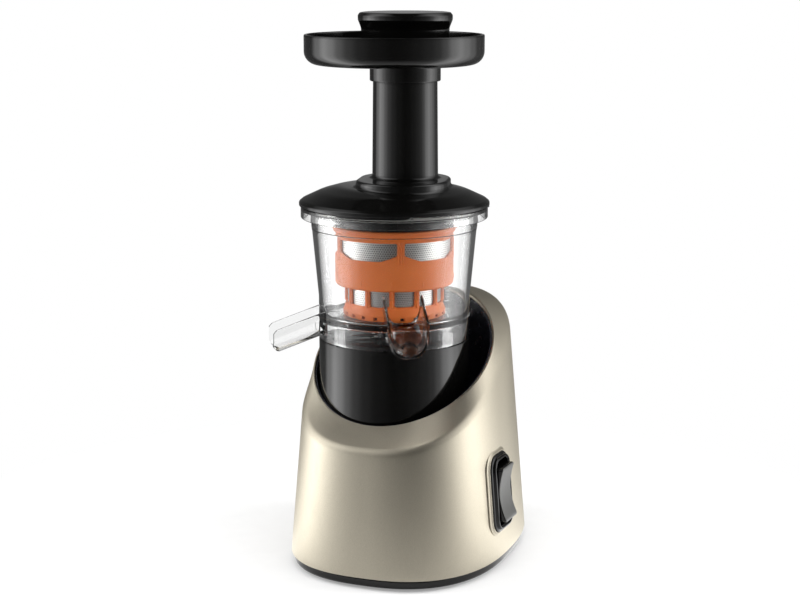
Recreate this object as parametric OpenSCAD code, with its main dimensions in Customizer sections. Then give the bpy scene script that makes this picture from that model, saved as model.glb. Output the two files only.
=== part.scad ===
// Cold press (slow) juicer: tapered metal base with the motor and a two stage gearbox,
// a clear bowl with a juice spout and a pulp spout, strainer, auger, lid with a feed chute,
// feed tray and pusher. Millimetres, +Z up, the front is -Y, the switch is on the +X side.
// The bowl axis is the build axis; the whole part is moved so that the origin lies under the
// middle of its bounding box, on the table.

/* [View] */
// Which node to show

/* [Body] */
// Half width of the housing at its bottom edge
body_half_w = 87.2; // [82:0.2:94]
// Housing reach to the front of its centre, at the bottom edge
body_front = 106.5; // [100:0.5:114]
// Housing reach to the rear of its centre, at the bottom edge
body_rear = 122; // [112:1:130]
// Housing centre, right of the bowl axis
body_x = 8.5; // [6:0.5:9]
// Housing centre, behind the bowl axis
body_y = 10.5; // [8:0.5:13]
// Roundness exponent of the plan outline, 2 is an ellipse
body_n = 2.5; // [2.2:0.05:2.8]
// Side draft angle in degrees
draft = 4.65; // [3.5:0.05:6]
// Height of the housing's lower edge above the table
edge_z = 9.5; // [8:0.5:12]
// Housing sheet thickness
shell_t = 2.2; // [1.6:0.1:3]
// Height of the crease where the side turns into the bevel, at the bowl axis
crease_z = 148.5; // [142:0.5:151]
// Rise of the crease per millimetre towards the rear
crease_rise = 0.455; // [0.38:0.005:0.5]
// Height of the recess rim at the bowl axis
rim_z = 160.5; // [157:0.5:166]
// Slope of the recess rim in degrees, up to the rear
rim_tilt = 31.1; // [28:0.1:33]

/* [Recess] */
// Radius of the recess mouth in the housing
rim_r = 71.3; // [70.5:0.1:73]
// Recess centre, right of the bowl axis
rim_x = 4.9; // [2:0.1:6]
// Recess centre, behind the bowl axis
rim_y = 7.7; // [4:0.1:8]
// Gap between the housing and the recess wall
rim_gap = 0.2; // [0.1:0.05:0.4]
// Wall of the recess tub
tub_t = 1.6; // [1.4:0.1:1.8]
// Height of the recess floor's top face
floor_z = 104.3; // [100:0.1:110]
// Thickness of the recess floor
floor_t = 3.3; // [3:0.1:5]
// Depth of the tub's edge below the rim
tub_drop = 1.2; // [0.8:0.1:3]

/* [Base plate] */
// Height of the base plate's underside above the table
plate_z = 2; // [1.5:0.5:4]
// Inset of the base plate from the housing's edge
plate_inset = 2; // [1:0.5:4]
// Foot radius
foot_r = 9; // [7:0.5:12]
// Foot spacing across
foot_dx = 118; // [90:1:120]
// Foot spacing front to rear
foot_dy = 130; // [100:1:140]
// Radius of the circle of chassis legs around the recess centre
leg_pcr = 64; // [61:0.5:65]
// Radius of a chassis leg
leg_r = 5.5; // [5:0.5:7]
// Screw shank radius
screw_r = 2; // [1.5:0.25:2.5]
// Screw head radius
screw_head_r = 3.8; // [3:0.1:4.5]

/* [Drive tower] */
// Outer radius of the drive tower and of the bowl's seat
tower_r = 60; // [58:0.5:62]
// Wall of the drive tower
tower_t = 3; // [2.5:0.1:4]
// Height of the bowl's seat above the recess floor
tower_h = 75.7; // [72:0.1:80]
// Gap between the drive tower and the bowl
seat_gap = 0.3; // [0.2:0.05:0.5]
// Thickness of the tower's top
tower_top_t = 3.6; // [3:0.1:5]

/* [Gearbox] */
// Gear module
gear_m = 1; // [0.8:0.05:1.1]
// Pinion teeth
pinion_n = 10; // [10:1:12]
// Wheel teeth
wheel_n = 48; // [44:1:50]
// Intermediate pin radius
mid_pin_r = 2.5; // [2:0.1:2.6]
// Output shaft radius
out_r = 7; // [6:0.25:8]
// Width across the flats of the output shaft's hexagon
out_af = 12; // [10:0.5:13]
// Length of the output shaft's hexagon
hex_l = 27.3; // [22:0.1:31]
// Gearbox plate radius
gplate_r = 47; // [45:0.5:48]
// Gearbox plate thickness
gplate_t = 4; // [3:0.5:5]
// Face width of the first wheel
wheel1_w = 10; // [8:0.5:11]
// Face width of the second wheel
wheel2_w = 13; // [10:0.5:14]
// Running clearance of shafts in their bearings
run_c = 0.05; // [0.02:0.01:0.09]

/* [Motor] */
// Motor can outer radius
can_r = 43; // [38:0.5:46]
// Motor can wall
can_t = 2.5; // [2:0.1:3]
// Height of the bottom of the motor can
can_z = 26; // [24:0.5:32]
// Stator stack length
stack_l = 40; // [30:1:44]
// Rotor radius
rotor_r = 22; // [18:0.5:24]
// Air gap between rotor and stator
air_gap = 0.6; // [0.4:0.1:1]
// Motor shaft radius
shaft_r = 4; // [3:0.25:4.5]
// Ball bearing outer radius of the motor
mbear_r = 9.5; // [9:0.5:11]
// Fan radius
fan_r = 34; // [28:1:38]

/* [Switch] */
// Switch bezel height
bezel_h = 62; // [60:1:70]
// Switch bezel width
bezel_w = 36; // [32:1:42]
// Switch height above the table, at its middle
switch_z = 62; // [55:1:70]
// Rocker length
rocker_h = 48; // [48:1:58]
// Rocker width
rocker_w = 25; // [20:1:28]
// Distance of the switch in front of the body's middle
switch_y = 17; // [0:1:24]
// Depth of the bezel's seat in the wall
bezel_sunk = 1.2; // [0.8:0.1:1.6]
// Height of the bezel above the wall
bezel_proud = 5.2; // [3:0.1:6]
// Radius of the rocker's pin
rocker_pin_r = 1.6; // [1.2:0.1:2]
// Depth of the rocker's pin behind the wall face
rocker_px = -4; // [-6:0.5:-3]
// Rocker swing to each side in degrees
rocker_deg = 9; // [6:1:12]

/* [Bowl] */
// Bowl wall thickness
bowl_t = 3; // [2.5:0.1:3.6]
// Height of the bowl floor's top face above the bowl's seat
bowl_floor_h = 18; // [16:0.5:21]
// Thickness of the bowl floor
bowl_floor_t = 3; // [2.5:0.1:4]
// Height above the bowl's seat where its wall starts to flare
flare_h = 33; // [30:1:36]
// Outer radius of the bowl below its rim flange
bowl_top_r = 65.5; // [64:0.5:67]
// Depth below the bowl's top of the ledge that carries the strainer
ledge_d = 17.3; // [15:0.1:20]
// Height of the rim flange's skirt
skirt_h = 9.3; // [7:0.1:11]
// Outer radius of the rim flange
flange_w = 8.2; // [7:0.1:9]
// Height of the bowl above its seat
bowl_h = 105.3; // [98:0.1:112]
// Radius of the bearing bore in the bowl's hub bush
hub_r = 10; // [9:0.25:11]
// Wall of the hub bush
bush_t = 1.5; // [1.2:0.1:2]
// Wall of the bowl's hub
hub_t = 2; // [1.6:0.1:3]
// Height of the bowl's hub above the bowl floor
hub_h = 14; // [10:0.5:17]

/* [Spouts] */
// Direction of the juice spout in degrees, seen from above
juice_dir = -62.6; // [-70:0.2:-50]
// Direction of the pulp spout in degrees, seen from above
pulp_dir = -147; // [-160:0.5:-135]
// Outer width of the juice spout
spout_w = 31; // [28:0.5:34]
// Outer width of the pulp spout
pulp_w = 30; // [28:0.5:34]
// Reach of the juice spout from the bowl axis
juice_reach = 101; // [90:0.5:106]
// Reach of the pulp spout from the bowl axis
pulp_reach = 100; // [90:0.5:106]
// Fall of the spouts in degrees
spout_fall = 19; // [14:0.5:24]
// Depth of the juice spout
juice_depth = 25; // [20:0.5:27]
// Depth of the pulp spout
pulp_depth = 20; // [17:0.5:22]
// Wall of the spouts
spout_t = 2; // [1.6:0.1:2.6]

/* [Strainer] */
// Outer radius of the strainer's upper part
str_r = 46.8; // [44:0.2:48]
// Outer radius of the strainer's lower part
str_low_r = 38.5; // [36:0.5:40]
// Wall of the strainer frame
str_t = 1.7; // [1.4:0.1:2.2]
// Thickness of the perforated steel
drum_t = 0.6; // [0.4:0.1:0.8]
// Height of the middle band
band_h = 23.5; // [21:0.5:26]
// Height of the upper windows
win_h = 14.5; // [12:0.5:17]
// Height of the neck between the upper windows and the flange
neck_h = 6; // [5:0.5:8]
// Height of the strainer's foot
foot_h = 10.5; // [9:0.5:12]
// How far the strainer's top flange stands out over its body
str_flange_w = 3.6; // [2.5:0.1:8]
// Thickness of the strainer's top flange
str_flange_t = 2.5; // [2:0.1:3.5]

/* [Auger] */
// Gap between the auger and the strainer
auger_gap = 1.2; // [0.8:0.1:2]
// Height of the auger's top above the strainer
auger_over = 20.5; // [16:0.5:23]
// Radius of the auger's core at its top
core_top_r = 13; // [10:0.5:18]
// Pitch of the auger's flight
auger_pitch = 34; // [26:1:42]

/* [Lid] */
// Lid edge radius
lid_over = 1.3; // [1:0.1:2]
// Lid wall thickness
lid_t = 3; // [2.5:0.1:3.5]
// Height of the lid's dome above its edge
dome_h = 15.9; // [14:0.1:18]
// Height of the plinth under the chute, above the dome
plinth_h = 5; // [4:0.5:7]
// Radius of the plinth's rounding
plinth_r = 36; // [33:0.5:39]
// Radius of the feed chute's bore
chute_bore_r = 22.5; // [20:0.5:23.5]
// Outer radius of the chute at its foot
chute_r0 = 25.9; // [25:0.1:27]
// Outer radius of the chute at its top
chute_r1 = 25.2; // [24.6:0.1:26]
// Chute axis, right of the bowl axis
chute_x = 6.5; // [0:0.5:10]
// Chute axis, behind the bowl axis
chute_y = 7; // [0:0.5:10]
// Height of the chute above the plinth
chute_h = 88.2; // [76:0.1:98]

/* [Feed tray] */
// Tray rim radius
tray_r = 70; // [60:1:80]
// Tray rim height above its underside
tray_h = 23; // [18:0.5:28]
// Tray wall
tray_t = 2.5; // [2:0.1:3]
// Radius of the rounding between the tray's side and floor
tray_round = 13; // [8:0.5:16]
// Length of the tray's collar on the chute
collar_l = 13; // [8:0.5:16]
// Wall of the tray's collar
collar_t = 2.2; // [1.8:0.1:3]
// Gap between collar and chute
collar_gap = 0.3; // [0.2:0.05:0.5]

/* [Pusher] */
// Radial gap between the pusher and the chute bore
pusher_gap = 0.35; // [0.25:0.05:0.8]
// Length of the pusher below its cap
pusher_l = 79.8; // [70:0.1:86]
// Radius of the pusher's cap
cap_r = 36.8; // [32:0.1:40]
// Height of the pusher's cap
cap_h = 37.2; // [32:0.1:42]
// Wall of the pusher
pusher_t = 2.5; // [2:0.1:3]

/* [Control board] */
// Width of the board
board_w = 52; // [44:1:58]
// Height of the board
board_h = 62; // [50:1:75]
// Thickness of the board
board_t = 1.6; // [1.2:0.1:2]
// Distance of the board behind the body's centre
board_back = 76; // [70:1:80]

/* [Port lining] */
// Wall of the silicone lining
plug_t = 1.5; // [1.2:0.1:2]
// How far the lining reaches below the bowl's floor
plug_drop = 7; // [5:0.5:8]

/* [Hidden] */
$fn = 96;
eps = 0.01;
// the bounding box's middle, seen from the bowl axis
origin_x = 6.015;
origin_y = 19.02;
rim_rise = tan(rim_tilt);
function crease_at(y) = crease_z + crease_rise * y;
function rim_at(y) = rim_z + rim_rise * y;
function sg(v) = v < 0 ? -1 : 1;
// plan outline of the housing, moved in by d
function plan_pt(t, d) = [
  body_x + (body_half_w - d) * sg(cos(t)) * pow(abs(cos(t)), 2 / body_n),
  body_y + ((sin(t) < 0 ? body_front : body_rear) - d) * sg(sin(t)) * pow(abs(sin(t)), 2 / body_n)];
function side_in(z) = (z - edge_z) * tan(draft);
// height of the crease on the drafted side, in the direction t
function crease_h(t, d, z, k) = k == 0 ? z : crease_h(t, d, crease_at(plan_pt(t, side_in(z) + d)[1]), k - 1);
plan_steps = 96;
plan_a = [for (i = [0:plan_steps - 1]) i * 360 / plan_steps];

// recess and chassis
tub_r = rim_r - rim_gap;
floor_low = floor_z - floor_t;
leg_angles = [-135, -45, 45, 135];
plate_top = edge_z - 0.2;
leg_z = plate_top + 0.2;
foot_x = body_x;
foot_y = body_y + 6;

// drive tower and gearbox
seat_z = floor_z + tower_h;
tower_top = seat_z - seat_gap;
tower_in = tower_r - tower_t;
mid_a = gear_m * (pinion_n + wheel_n) / 2;
gb_z0 = floor_z;
gb_z1 = gb_z0 + gplate_t;
wheel1_z = gb_z1 + 3.2;
wheel2_z = wheel1_z + wheel1_w + 2.6;
cover_z = wheel2_z + wheel2_w + 2.6;
cover_top = cover_z + gplate_t;
pillar_r = 4;
pillar_pcr = gplate_r - pillar_r - 1;
pillar_angles = [15, 165, -90];
mscrew_pcr = 42;
mscrew_angles = [45, 135, -135, -45];
tscrew_pcr = tower_in - 4;
tscrew_angles = [-90, 10, 170];
boss_r = 4.5;
pinion_bore = gear_m * (pinion_n / 2 - 1.2) - 1.2;
obear_r = out_r + 6;
obear_w = 10;
boss_top_z = tower_top - tower_top_t;
hex_z = tower_top + 1;
out_top_z = hex_z + hex_l;

// motor
bracket_t = 6;
bracket_z = floor_low - bracket_t;
can_top = bracket_z;
stack_z = (can_z + can_top) / 2 - stack_l / 2;
mbear_w = 7;
fan_z = 13;
fan_w = can_z - fan_z - 2.5;
shaft_top = wheel1_z + wheel1_w + 0.4;

// bowl
bowl_floor_z = seat_z + bowl_floor_h;
flare_z = seat_z + flare_h;
bowl_top_z = seat_z + bowl_h;
ledge_z = bowl_top_z - ledge_d;
flange_z = bowl_top_z - skirt_h;
hub_z = bowl_floor_z + hub_h;
seat_in = tower_r - bowl_t;
board_y = body_y + board_back;
flange_r = bowl_top_r + flange_w;
lid_r = flange_r + lid_over;
bowl_in_top = bowl_top_r - bowl_t;
ledge_in = bowl_in_top - 1.3;
floor_under = bowl_floor_z - bowl_floor_t;
hub_in = hub_r + bush_t + 0.05;
hub_out = hub_in + hub_t;
port_r0 = hub_out + 3;
port_r1 = str_low_r - str_t - drum_t - 1.5;
port_w = pulp_w - 2 * spout_t - 2;
channel_z = seat_z + 3.2;

// strainer
drum_r = str_r - str_t;
drum_low_r = str_low_r - str_t;
str_top = ledge_z + str_flange_t;
win_z1 = ledge_z - neck_h;
band_z1 = win_z1 - win_h;
band_z0 = band_z1 - band_h;
low_ring_z = bowl_floor_z + foot_h;
rib_angle = 360 / 5;

// auger
auger_r = drum_r - drum_t - auger_gap;
auger_low_r = drum_low_r - drum_t - auger_gap;
auger_z = bowl_floor_z + 1;
auger_top_z = str_top + auger_over;
socket_r = hub_r - run_c;
socket_z = floor_under - 6;
socket_top = hub_z + 10;

// lid
spigot_r = bowl_in_top - 0.35;
lid_low = bowl_top_z + 0.3;
dome_z = lid_low + dome_h;
plinth_z = dome_z + plinth_h;
chute_top_z = plinth_z + chute_h;
tray_z = chute_top_z + 0.3;
pusher_seat = tray_z + tray_t + 0.3;
pusher_z = pusher_seat - pusher_l;
cap_z = pusher_seat + cap_h;
press_z = str_top + 0.3;
lug_a = 46;
lug_phase = -83;
collar_in = chute_r1 + collar_gap;
collar_out = collar_in + collar_t;

// switch
// the side wall where the switch sits, and how far it has turned toward the front there
wall_u = pow(switch_y / (body_front - side_in(switch_z)), body_n);
wall_x = body_x + (body_half_w - side_in(switch_z)) * pow(1 - wall_u, 1 / body_n);
wall_turn = atan((body_half_w - side_in(switch_z)) / (body_front - side_in(switch_z)) * pow(wall_u / (1 - wall_u), (body_n - 1) / body_n));

module place() translate([-origin_x, -origin_y, 0]) children();

// ---------- small helpers ----------
module ring(ro, ri, z0, z1) difference() {
  translate([0, 0, z0]) cylinder(r = ro, h = z1 - z0);
  translate([0, 0, z0 - 1]) cylinder(r = ri, h = z1 - z0 + 2);
}
module at(r, a, z = 0) rotate([0, 0, a]) translate([r, 0, z]) children();
module chute_axis() translate([chute_x, chute_y, 0]) children();
module recess_axis() translate([rim_x, rim_y, 0]) children();
module cyl(r, z0, z1) translate([0, 0, z0]) cylinder(r = r, h = z1 - z0);

// everything above the plane of the recess rim, lowered by d
module above_rim(d) translate([0, 0, rim_z - d]) rotate([rim_tilt, 0, 0]) translate([-150, -150, 0]) cube([300, 300, 200]);

// gear tooth outline: straight flanks, thinned for backlash
module gear2d(n, m, thin = 0.38) {
  r = m * n / 2;
  ro = r + 0.9 * m;
  ri = r - 1.2 * m;
  ap = thin * 360 / n / 2;
  slope = 20;
  function half(rr) = ap * r / rr - (rr - r) * tan(slope) / rr * 180 / PI;
  polygon([for (i = [0:n - 1]) each [
    [ri * cos(i * 360 / n - half(ri)), ri * sin(i * 360 / n - half(ri))],
    [r * cos(i * 360 / n - half(r)), r * sin(i * 360 / n - half(r))],
    [ro * cos(i * 360 / n - half(ro)), ro * sin(i * 360 / n - half(ro))],
    [ro * cos(i * 360 / n + half(ro)), ro * sin(i * 360 / n + half(ro))],
    [r * cos(i * 360 / n + half(r)), r * sin(i * 360 / n + half(r))],
    [ri * cos(i * 360 / n + half(ri)), ri * sin(i * 360 / n + half(ri))]]]);
}
module gear(n, z0, w, bore, turn = 0) translate([0, 0, z0]) rotate([0, 0, turn])
  difference() {
    linear_extrude(w) gear2d(n, gear_m);
    translate([0, 0, -1]) cylinder(r = bore, h = w + 2);
  }

// ---------- housing ----------
// solid of the housing's outside, moved in by d at the sides and down by g at the top
module body_solid(d, g, low) {
  pts = concat(
    [for (t = plan_a) let (p = plan_pt(t, d)) [p[0], p[1], low]],
    [for (t = plan_a) let (z = crease_h(t, d, crease_z, 5), p = plan_pt(t, side_in(z) + d)) [p[0], p[1], z - g * 0.6]],
    [for (t = plan_a) let (x = rim_x + (rim_r + 1.6) * cos(t), y = rim_y + (rim_r + 1.6) * sin(t)) [x, y, rim_at(y) - g]]);
  hull() polyhedron(points = pts, faces = [for (i = [0:len(pts) - 3]) [i, i + 1, i + 2]]);
}

module housing() color([0.80, 0.77, 0.70]) difference() {
  body_solid(0, 0, edge_z);
  body_solid(shell_t, shell_t * 1.15, edge_z - 1);
  recess_axis() cyl(rim_r, floor_z - 20, 260);
  // seat and opening of the switch
  switch_axis() bezel_block(bezel_w + 0.5, bezel_h + 0.5, -bezel_sunk - 0.2, 30);
  switch_axis() bezel_block(bezel_w - 6, bezel_h - 6, -20, 20, 4.8);
  // cord inlet
  translate([gland_x, gland_y + 8, gland_z]) rotate([90, 0, 0]) cylinder(r = gland_r + 0.2, h = 40, center = true);
}
gland_r = 7;
gland_x = body_x;
gland_z = 30;
gland_y = body_y + body_rear - side_in(gland_z);

// ---------- base ----------
module plate2d(d) polygon([for (t = plan_a) plan_pt(t, d)]);

module base_plate() color([0.06, 0.06, 0.06]) difference() {
  union() {
    translate([0, 0, plate_z]) linear_extrude(plate_top - plate_z) plate2d(plate_inset);
    // lip that centres the housing
    translate([0, 0, plate_z]) linear_extrude(edge_z + 3 - plate_z) difference() {
      plate2d(shell_t + 0.6);
      plate2d(shell_t + 2.8);
    }
    // posts of the control board
    for (x = [-1, 1]) translate([body_x + x * (board_w / 2 - 4) - 3, board_y - 3, plate_z]) cube([6, 6, 20]);
  }
  // room for the fan's air and the screws
  for (i = [0:5]) translate([-24, -30 + i * 12 - 2.5, plate_z - 1]) cube([48, 5, 20]);
  for (x = [-1, 1], y = [-1, 1]) translate([foot_x + x * foot_dx / 2, foot_y + y * foot_dy / 2, plate_z - 1])
    cylinder(r = foot_r + 0.1, h = 3);
  recess_axis() for (a = leg_angles) at(leg_pcr, a) {
    cyl(screw_r + 0.2, 0, 30);
    cyl(screw_head_r + 0.2, plate_z - 1, plate_z + 3);
  }
  translate([body_x, board_y, plate_z]) translate([-board_w / 2 - 4, -board_t / 2 - 0.1, 8]) cube([board_w + 8, board_t + 0.2, 20]);
}

module feet() color([0.1, 0.1, 0.1]) for (x = [-1, 1], y = [-1, 1])
  translate([foot_x + x * foot_dx / 2, foot_y + y * foot_dy / 2, 0]) {
    cylinder(r = foot_r, h = plate_z + 2);
  }

// The chassis and the recess wall that rises from it are one moulding, as two nodes.
module chassis() color([0.05, 0.05, 0.055]) union() {
  difference() {
    recess_axis() cyl(tub_r, floor_low, floor_z);
    cyl(can_r - 9, floor_low - 1, floor_z + 1);
    for (a = mscrew_angles) at(mscrew_pcr, a) cyl(screw_r + 0.2, floor_low - 1, floor_z + 1);
    for (a = tscrew_angles) at(tscrew_pcr, a) cyl(screw_r + 0.2, floor_low - 1, floor_z + 1);
  }
  recess_axis() for (a = leg_angles) at(leg_pcr, a) difference() {
    cyl(leg_r, leg_z, floor_low + eps);
    cyl(screw_r, leg_z - 1, leg_z + 14);
  }
}
module recess_wall() color([0.05, 0.05, 0.055]) difference() {
  recess_axis() ring(tub_r, tub_r - tub_t, floor_z, 240);
  above_rim(tub_drop);
}

module base_screws() color([0.6, 0.6, 0.62]) recess_axis() for (a = leg_angles) at(leg_pcr, a) {
  cyl(screw_head_r, plate_z + 0.8, plate_z + 3);
  cyl(screw_r, plate_z + 2.9, leg_z + 12);
}

module cord_gland() color([0.05, 0.05, 0.05]) translate([gland_x, gland_y, gland_z]) rotate([-90, 0, 0]) difference() {
  union() {
    translate([0, 0, -5]) cylinder(r = gland_r, h = 7);
    translate([0, 0, 1]) cylinder(r = gland_r + 2.5, h = 2.2);
    translate([0, 0, -6]) cylinder(r = gland_r + 2.5, h = 2.8);
    translate([0, 0, -12.8]) cylinder(r = gland_r - 1, h = 7);
  }
  translate([0, 0, -14]) cylinder(r = 3.5, h = 20);
}

// ---------- drive tower ----------
module drive_tower() color([0.02, 0.02, 0.02]) difference() {
  union() {
    cyl(tower_r, floor_z, tower_top);
    // spigot that centres the bowl
    cyl(seat_in - seat_gap, tower_top - 1, tower_top + 2.5);
  }
  difference() {
    cyl(tower_in, floor_z - 1, boss_top_z);
    cyl(obear_r + 3, boss_top_z - obear_w - 1, boss_top_z + 1);
    for (a = tscrew_angles) at(tscrew_pcr, a) cyl(boss_r, floor_z - 2, floor_z + 26);
  }
  cyl(obear_r, boss_top_z - obear_w - 2, boss_top_z);
  cyl(obear_r - 1, boss_top_z - 1, tower_top + 5);
  for (a = tscrew_angles) at(tscrew_pcr, a) cyl(screw_r, floor_z - 2, floor_z + 14);
}

module tower_screws() color([0.6, 0.6, 0.62]) for (a = tscrew_angles) at(tscrew_pcr, a) {
  cyl(screw_head_r, floor_low - 2.4, floor_low);
  cyl(screw_r, floor_low - 0.5, floor_z + 12);
}

module gearbox_base() color([0.55, 0.56, 0.58]) difference() {
  union() {
    cyl(gplate_r, gb_z0, gb_z1);
    for (a = pillar_angles) at(pillar_pcr, a) cyl(pillar_r, gb_z1 - eps, cover_z);
  }
  cyl(mbear_r + 2, gb_z0 - 1, gb_z1 + 1);
  at(mid_a, 90) cyl(mid_pin_r, gb_z0 + 0.8, gb_z1 + 1);
  for (a = mscrew_angles) at(mscrew_pcr, a) cyl(screw_r + 0.2, gb_z0 - 1, gb_z1 + 1);
  for (a = pillar_angles) at(pillar_pcr, a) cyl(screw_r, cover_z - 8, cover_z + 1);
}

module gearbox_cover() color([0.55, 0.56, 0.58]) difference() {
  union() {
    cyl(gplate_r, cover_z, cover_top);
    cyl(obear_r + 3, cover_top - eps, cover_z + obear_w + 2);
  }
  cyl(obear_r, cover_z + 2, cover_z + obear_w + 3);
  cyl(obear_r - 2, cover_z - 1, cover_z + 3);
  at(mid_a, 90) cyl(mid_pin_r, cover_z - 1, cover_top + 1);
  for (a = pillar_angles) at(pillar_pcr, a) cyl(screw_r + 0.2, cover_z - 1, cover_top + 1);
}

module gearbox_screws() color([0.6, 0.6, 0.62]) for (a = pillar_angles) at(pillar_pcr, a) {
  cyl(screw_r, cover_z - 7, cover_top + 0.5);
  cyl(screw_head_r, cover_top, cover_top + 2.2);
}

module intermediate_pin() color([0.7, 0.7, 0.72]) at(mid_a, 90) cyl(mid_pin_r, gb_z0 + 0.8, cover_top);

module output_bearings() color([0.75, 0.75, 0.77]) {
  ring(obear_r, out_r + run_c, cover_z + 2, cover_z + 2 + obear_w);
  ring(obear_r, out_r + run_c, boss_top_z - obear_w, boss_top_z);
}

module shaft_seal() color([0.15, 0.15, 0.15]) ring(obear_r - 1, out_r + run_c, boss_top_z, tower_top + 1);

// ---------- motor ----------
module motor_can() color([0.45, 0.46, 0.48]) difference() {
  union() {
    cyl(can_r, can_z, can_top);
  }
  difference() {
    cyl(can_r - can_t, can_z + can_t, can_top + 1);
    cyl(mbear_r + 2, can_z, can_z + mbear_w + 1);
  }
  cyl(mbear_r, can_z + 1, can_z + mbear_w + 2);
  cyl(shaft_r + 1.5, can_z - 1, can_z + 3);
  for (i = [0:7]) rotate([0, 0, i * 45 + 22.5]) translate([can_r - 5, -5, can_z + 8]) cube([12, 10, 12]);
}

module motor_stator() color([0.35, 0.36, 0.38]) ring(can_r - can_t, rotor_r + air_gap, stack_z, stack_z + stack_l);

module motor_windings() color([0.72, 0.42, 0.2]) for (z = [stack_z - 8, stack_z + stack_l])
  ring(can_r - can_t - 2, rotor_r + air_gap + 2, z, z + 8);

module motor_bracket() color([0.55, 0.56, 0.58]) difference() {
  cyl(can_r + 4, bracket_z, floor_low);
  cyl(mbear_r, bracket_z + 1, floor_low + 1);
  cyl(shaft_r + 1.5, bracket_z - 1, floor_low + 1);
  for (a = mscrew_angles) at(mscrew_pcr, a) cyl(screw_r, bracket_z - 1, floor_low + 1);
  for (i = [0:3]) rotate([0, 0, i * 90]) translate([24, 0, bracket_z - 1]) cylinder(r = 7, h = bracket_t + 2);
  for (a = tscrew_angles) at(tscrew_pcr, a) cyl(screw_head_r + 4, bracket_z - 1, floor_low + 1);
}

module motor_bearings() color([0.75, 0.75, 0.77]) {
  ring(mbear_r, shaft_r + run_c, can_z + 1, can_z + 1 + mbear_w);
  ring(mbear_r, shaft_r + run_c, bracket_z + 1, floor_low);
}

module motor_screws() color([0.6, 0.6, 0.62]) for (a = mscrew_angles) at(mscrew_pcr, a) {
  cyl(screw_r, bracket_z, gb_z1 + 0.5);
  cyl(screw_head_r, gb_z1, gb_z1 + 2.2);
}

module motor_shaft() color([0.7, 0.7, 0.72]) union() {
  cyl(shaft_r, fan_z - 1, wheel1_z - 0.3);
  cyl(pinion_bore - 0.02, wheel1_z - 1, shaft_top);
}

module motor_rotor() color([0.4, 0.41, 0.43]) ring(rotor_r, shaft_r, stack_z, stack_z + stack_l);

module cooling_fan() color([0.1, 0.1, 0.1]) difference() {
  union() {
    cyl(9, fan_z, fan_z + fan_w);
    cyl(fan_r, fan_z, fan_z + 1.6);
    for (i = [0:8]) rotate([0, 0, i * 40]) translate([6, -0.8, fan_z]) cube([fan_r - 7, 1.6, fan_w]);
  }
  cyl(shaft_r, fan_z - 2, fan_z + fan_w + 2);
}

// the motor pinion has a tooth towards +Y, where the first wheel has a gap
module motor_pinion() color([0.7, 0.7, 0.72]) gear(pinion_n, wheel1_z, wheel1_w, pinion_bore, 90);

module intermediate_gear() color([0.66, 0.62, 0.5]) at(mid_a, 90) rotate([0, 0, -90]) {
  difference() {
    union() {
      translate([0, 0, wheel1_z]) rotate([0, 0, -90 + 180 / wheel_n]) linear_extrude(wheel1_w) gear2d(wheel_n, gear_m);
      cyl(4.6, gb_z1 + 0.3, wheel1_z + eps);
      translate([0, 0, wheel1_z + wheel1_w - eps]) rotate([0, 0, -90]) linear_extrude(wheel2_z + wheel2_w - wheel1_z - wheel1_w + 1) gear2d(pinion_n, gear_m);
    }
    cyl(mid_pin_r + run_c, gb_z1 - 1, cover_z + 1);
  }
}

module output_gear() color([0.66, 0.62, 0.5]) gear(wheel_n, wheel2_z, wheel2_w, out_r, 90 + 180 / wheel_n);

module output_shaft() color([0.7, 0.7, 0.72]) union() {
  cyl(out_r, wheel2_z - 0.6, hex_z);
  rotate([0, 0, 30]) translate([0, 0, hex_z - eps]) cylinder(d = out_af / cos(30), h = out_top_z - hex_z, $fn = 6);
}

// ---------- electronics ----------
module control_board() color([0.1, 0.35, 0.15]) translate([body_x - board_w / 2, board_y - board_t / 2, plate_z + 8.2]) cube([board_w, board_t, board_h]);
module board_components() color([0.2, 0.2, 0.25]) translate([body_x, board_y - board_t / 2, plate_z + 8]) {
  translate([-board_w * 0.23, 0, board_h * 0.71]) rotate([90, 0, 0]) cylinder(r = board_w * 0.154, h = 14);
  translate([board_w * 0.077, -12, board_h * 0.58]) cube([board_w * 0.346, 12, board_h * 0.242]);
  translate([-board_w * 0.385, -9, board_h * 0.258]) cube([board_w * 0.269, 9, board_h * 0.194]);
  translate([board_w * 0.0385, -8, board_h * 0.258]) cube([board_w * 0.385, 8, board_h * 0.161]);
}

// ---------- switch ----------
module switch_bezel() color([0.03, 0.03, 0.03]) difference() {
  union() {
    // flange, sunk into its seat in the drafted wall
    switch_axis() bezel_block(bezel_w, bezel_h, -bezel_sunk, bezel_proud);
    switch_axis() bezel_block(bezel_w - 6.6, bezel_h - 6.6, -9, 1, 4.5);
  }
  switch_axis() bezel_block(rocker_w + 1, rocker_h + 3, -40, 40, 3);
  switch_axis() translate([rocker_px, 0, 0]) rotate([90, 0, 0]) cylinder(r = rocker_pin_r + 0.02, h = bezel_w - 7.4, center = true);
}
module switch_axis() translate([wall_x, body_y - switch_y, switch_z]) rotate([0, -draft, -wall_turn]) children();
module bezel_block(w, h, x0, x1, r = 11.4) translate([x0, 0, 0]) rotate([90, 0, 90]) linear_extrude(x1 - x0) hull()
  for (y = [-1, 1], z = [-1, 1]) translate([y * (w / 2 - r), z * (h / 2 - r)]) circle(r = r);

module switch_body() color([0.08, 0.08, 0.08]) switch_axis() difference() {
  translate([-22, -(rocker_w + 1) / 2, -(rocker_h + 3) / 2 + 6]) cube([12.8, rocker_w + 1, rocker_h - 9]);
  // seat of the rocker's pin block
  translate([-14, -rocker_w / 2 + 1.5, -8]) cube([6, rocker_w - 3, 16]);
}

module rocker_pin() color([0.7, 0.7, 0.72]) switch_axis()
  translate([rocker_px, 0, 0]) rotate([90, 0, 0]) cylinder(r = rocker_pin_r, h = bezel_w - 8, center = true);

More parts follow.
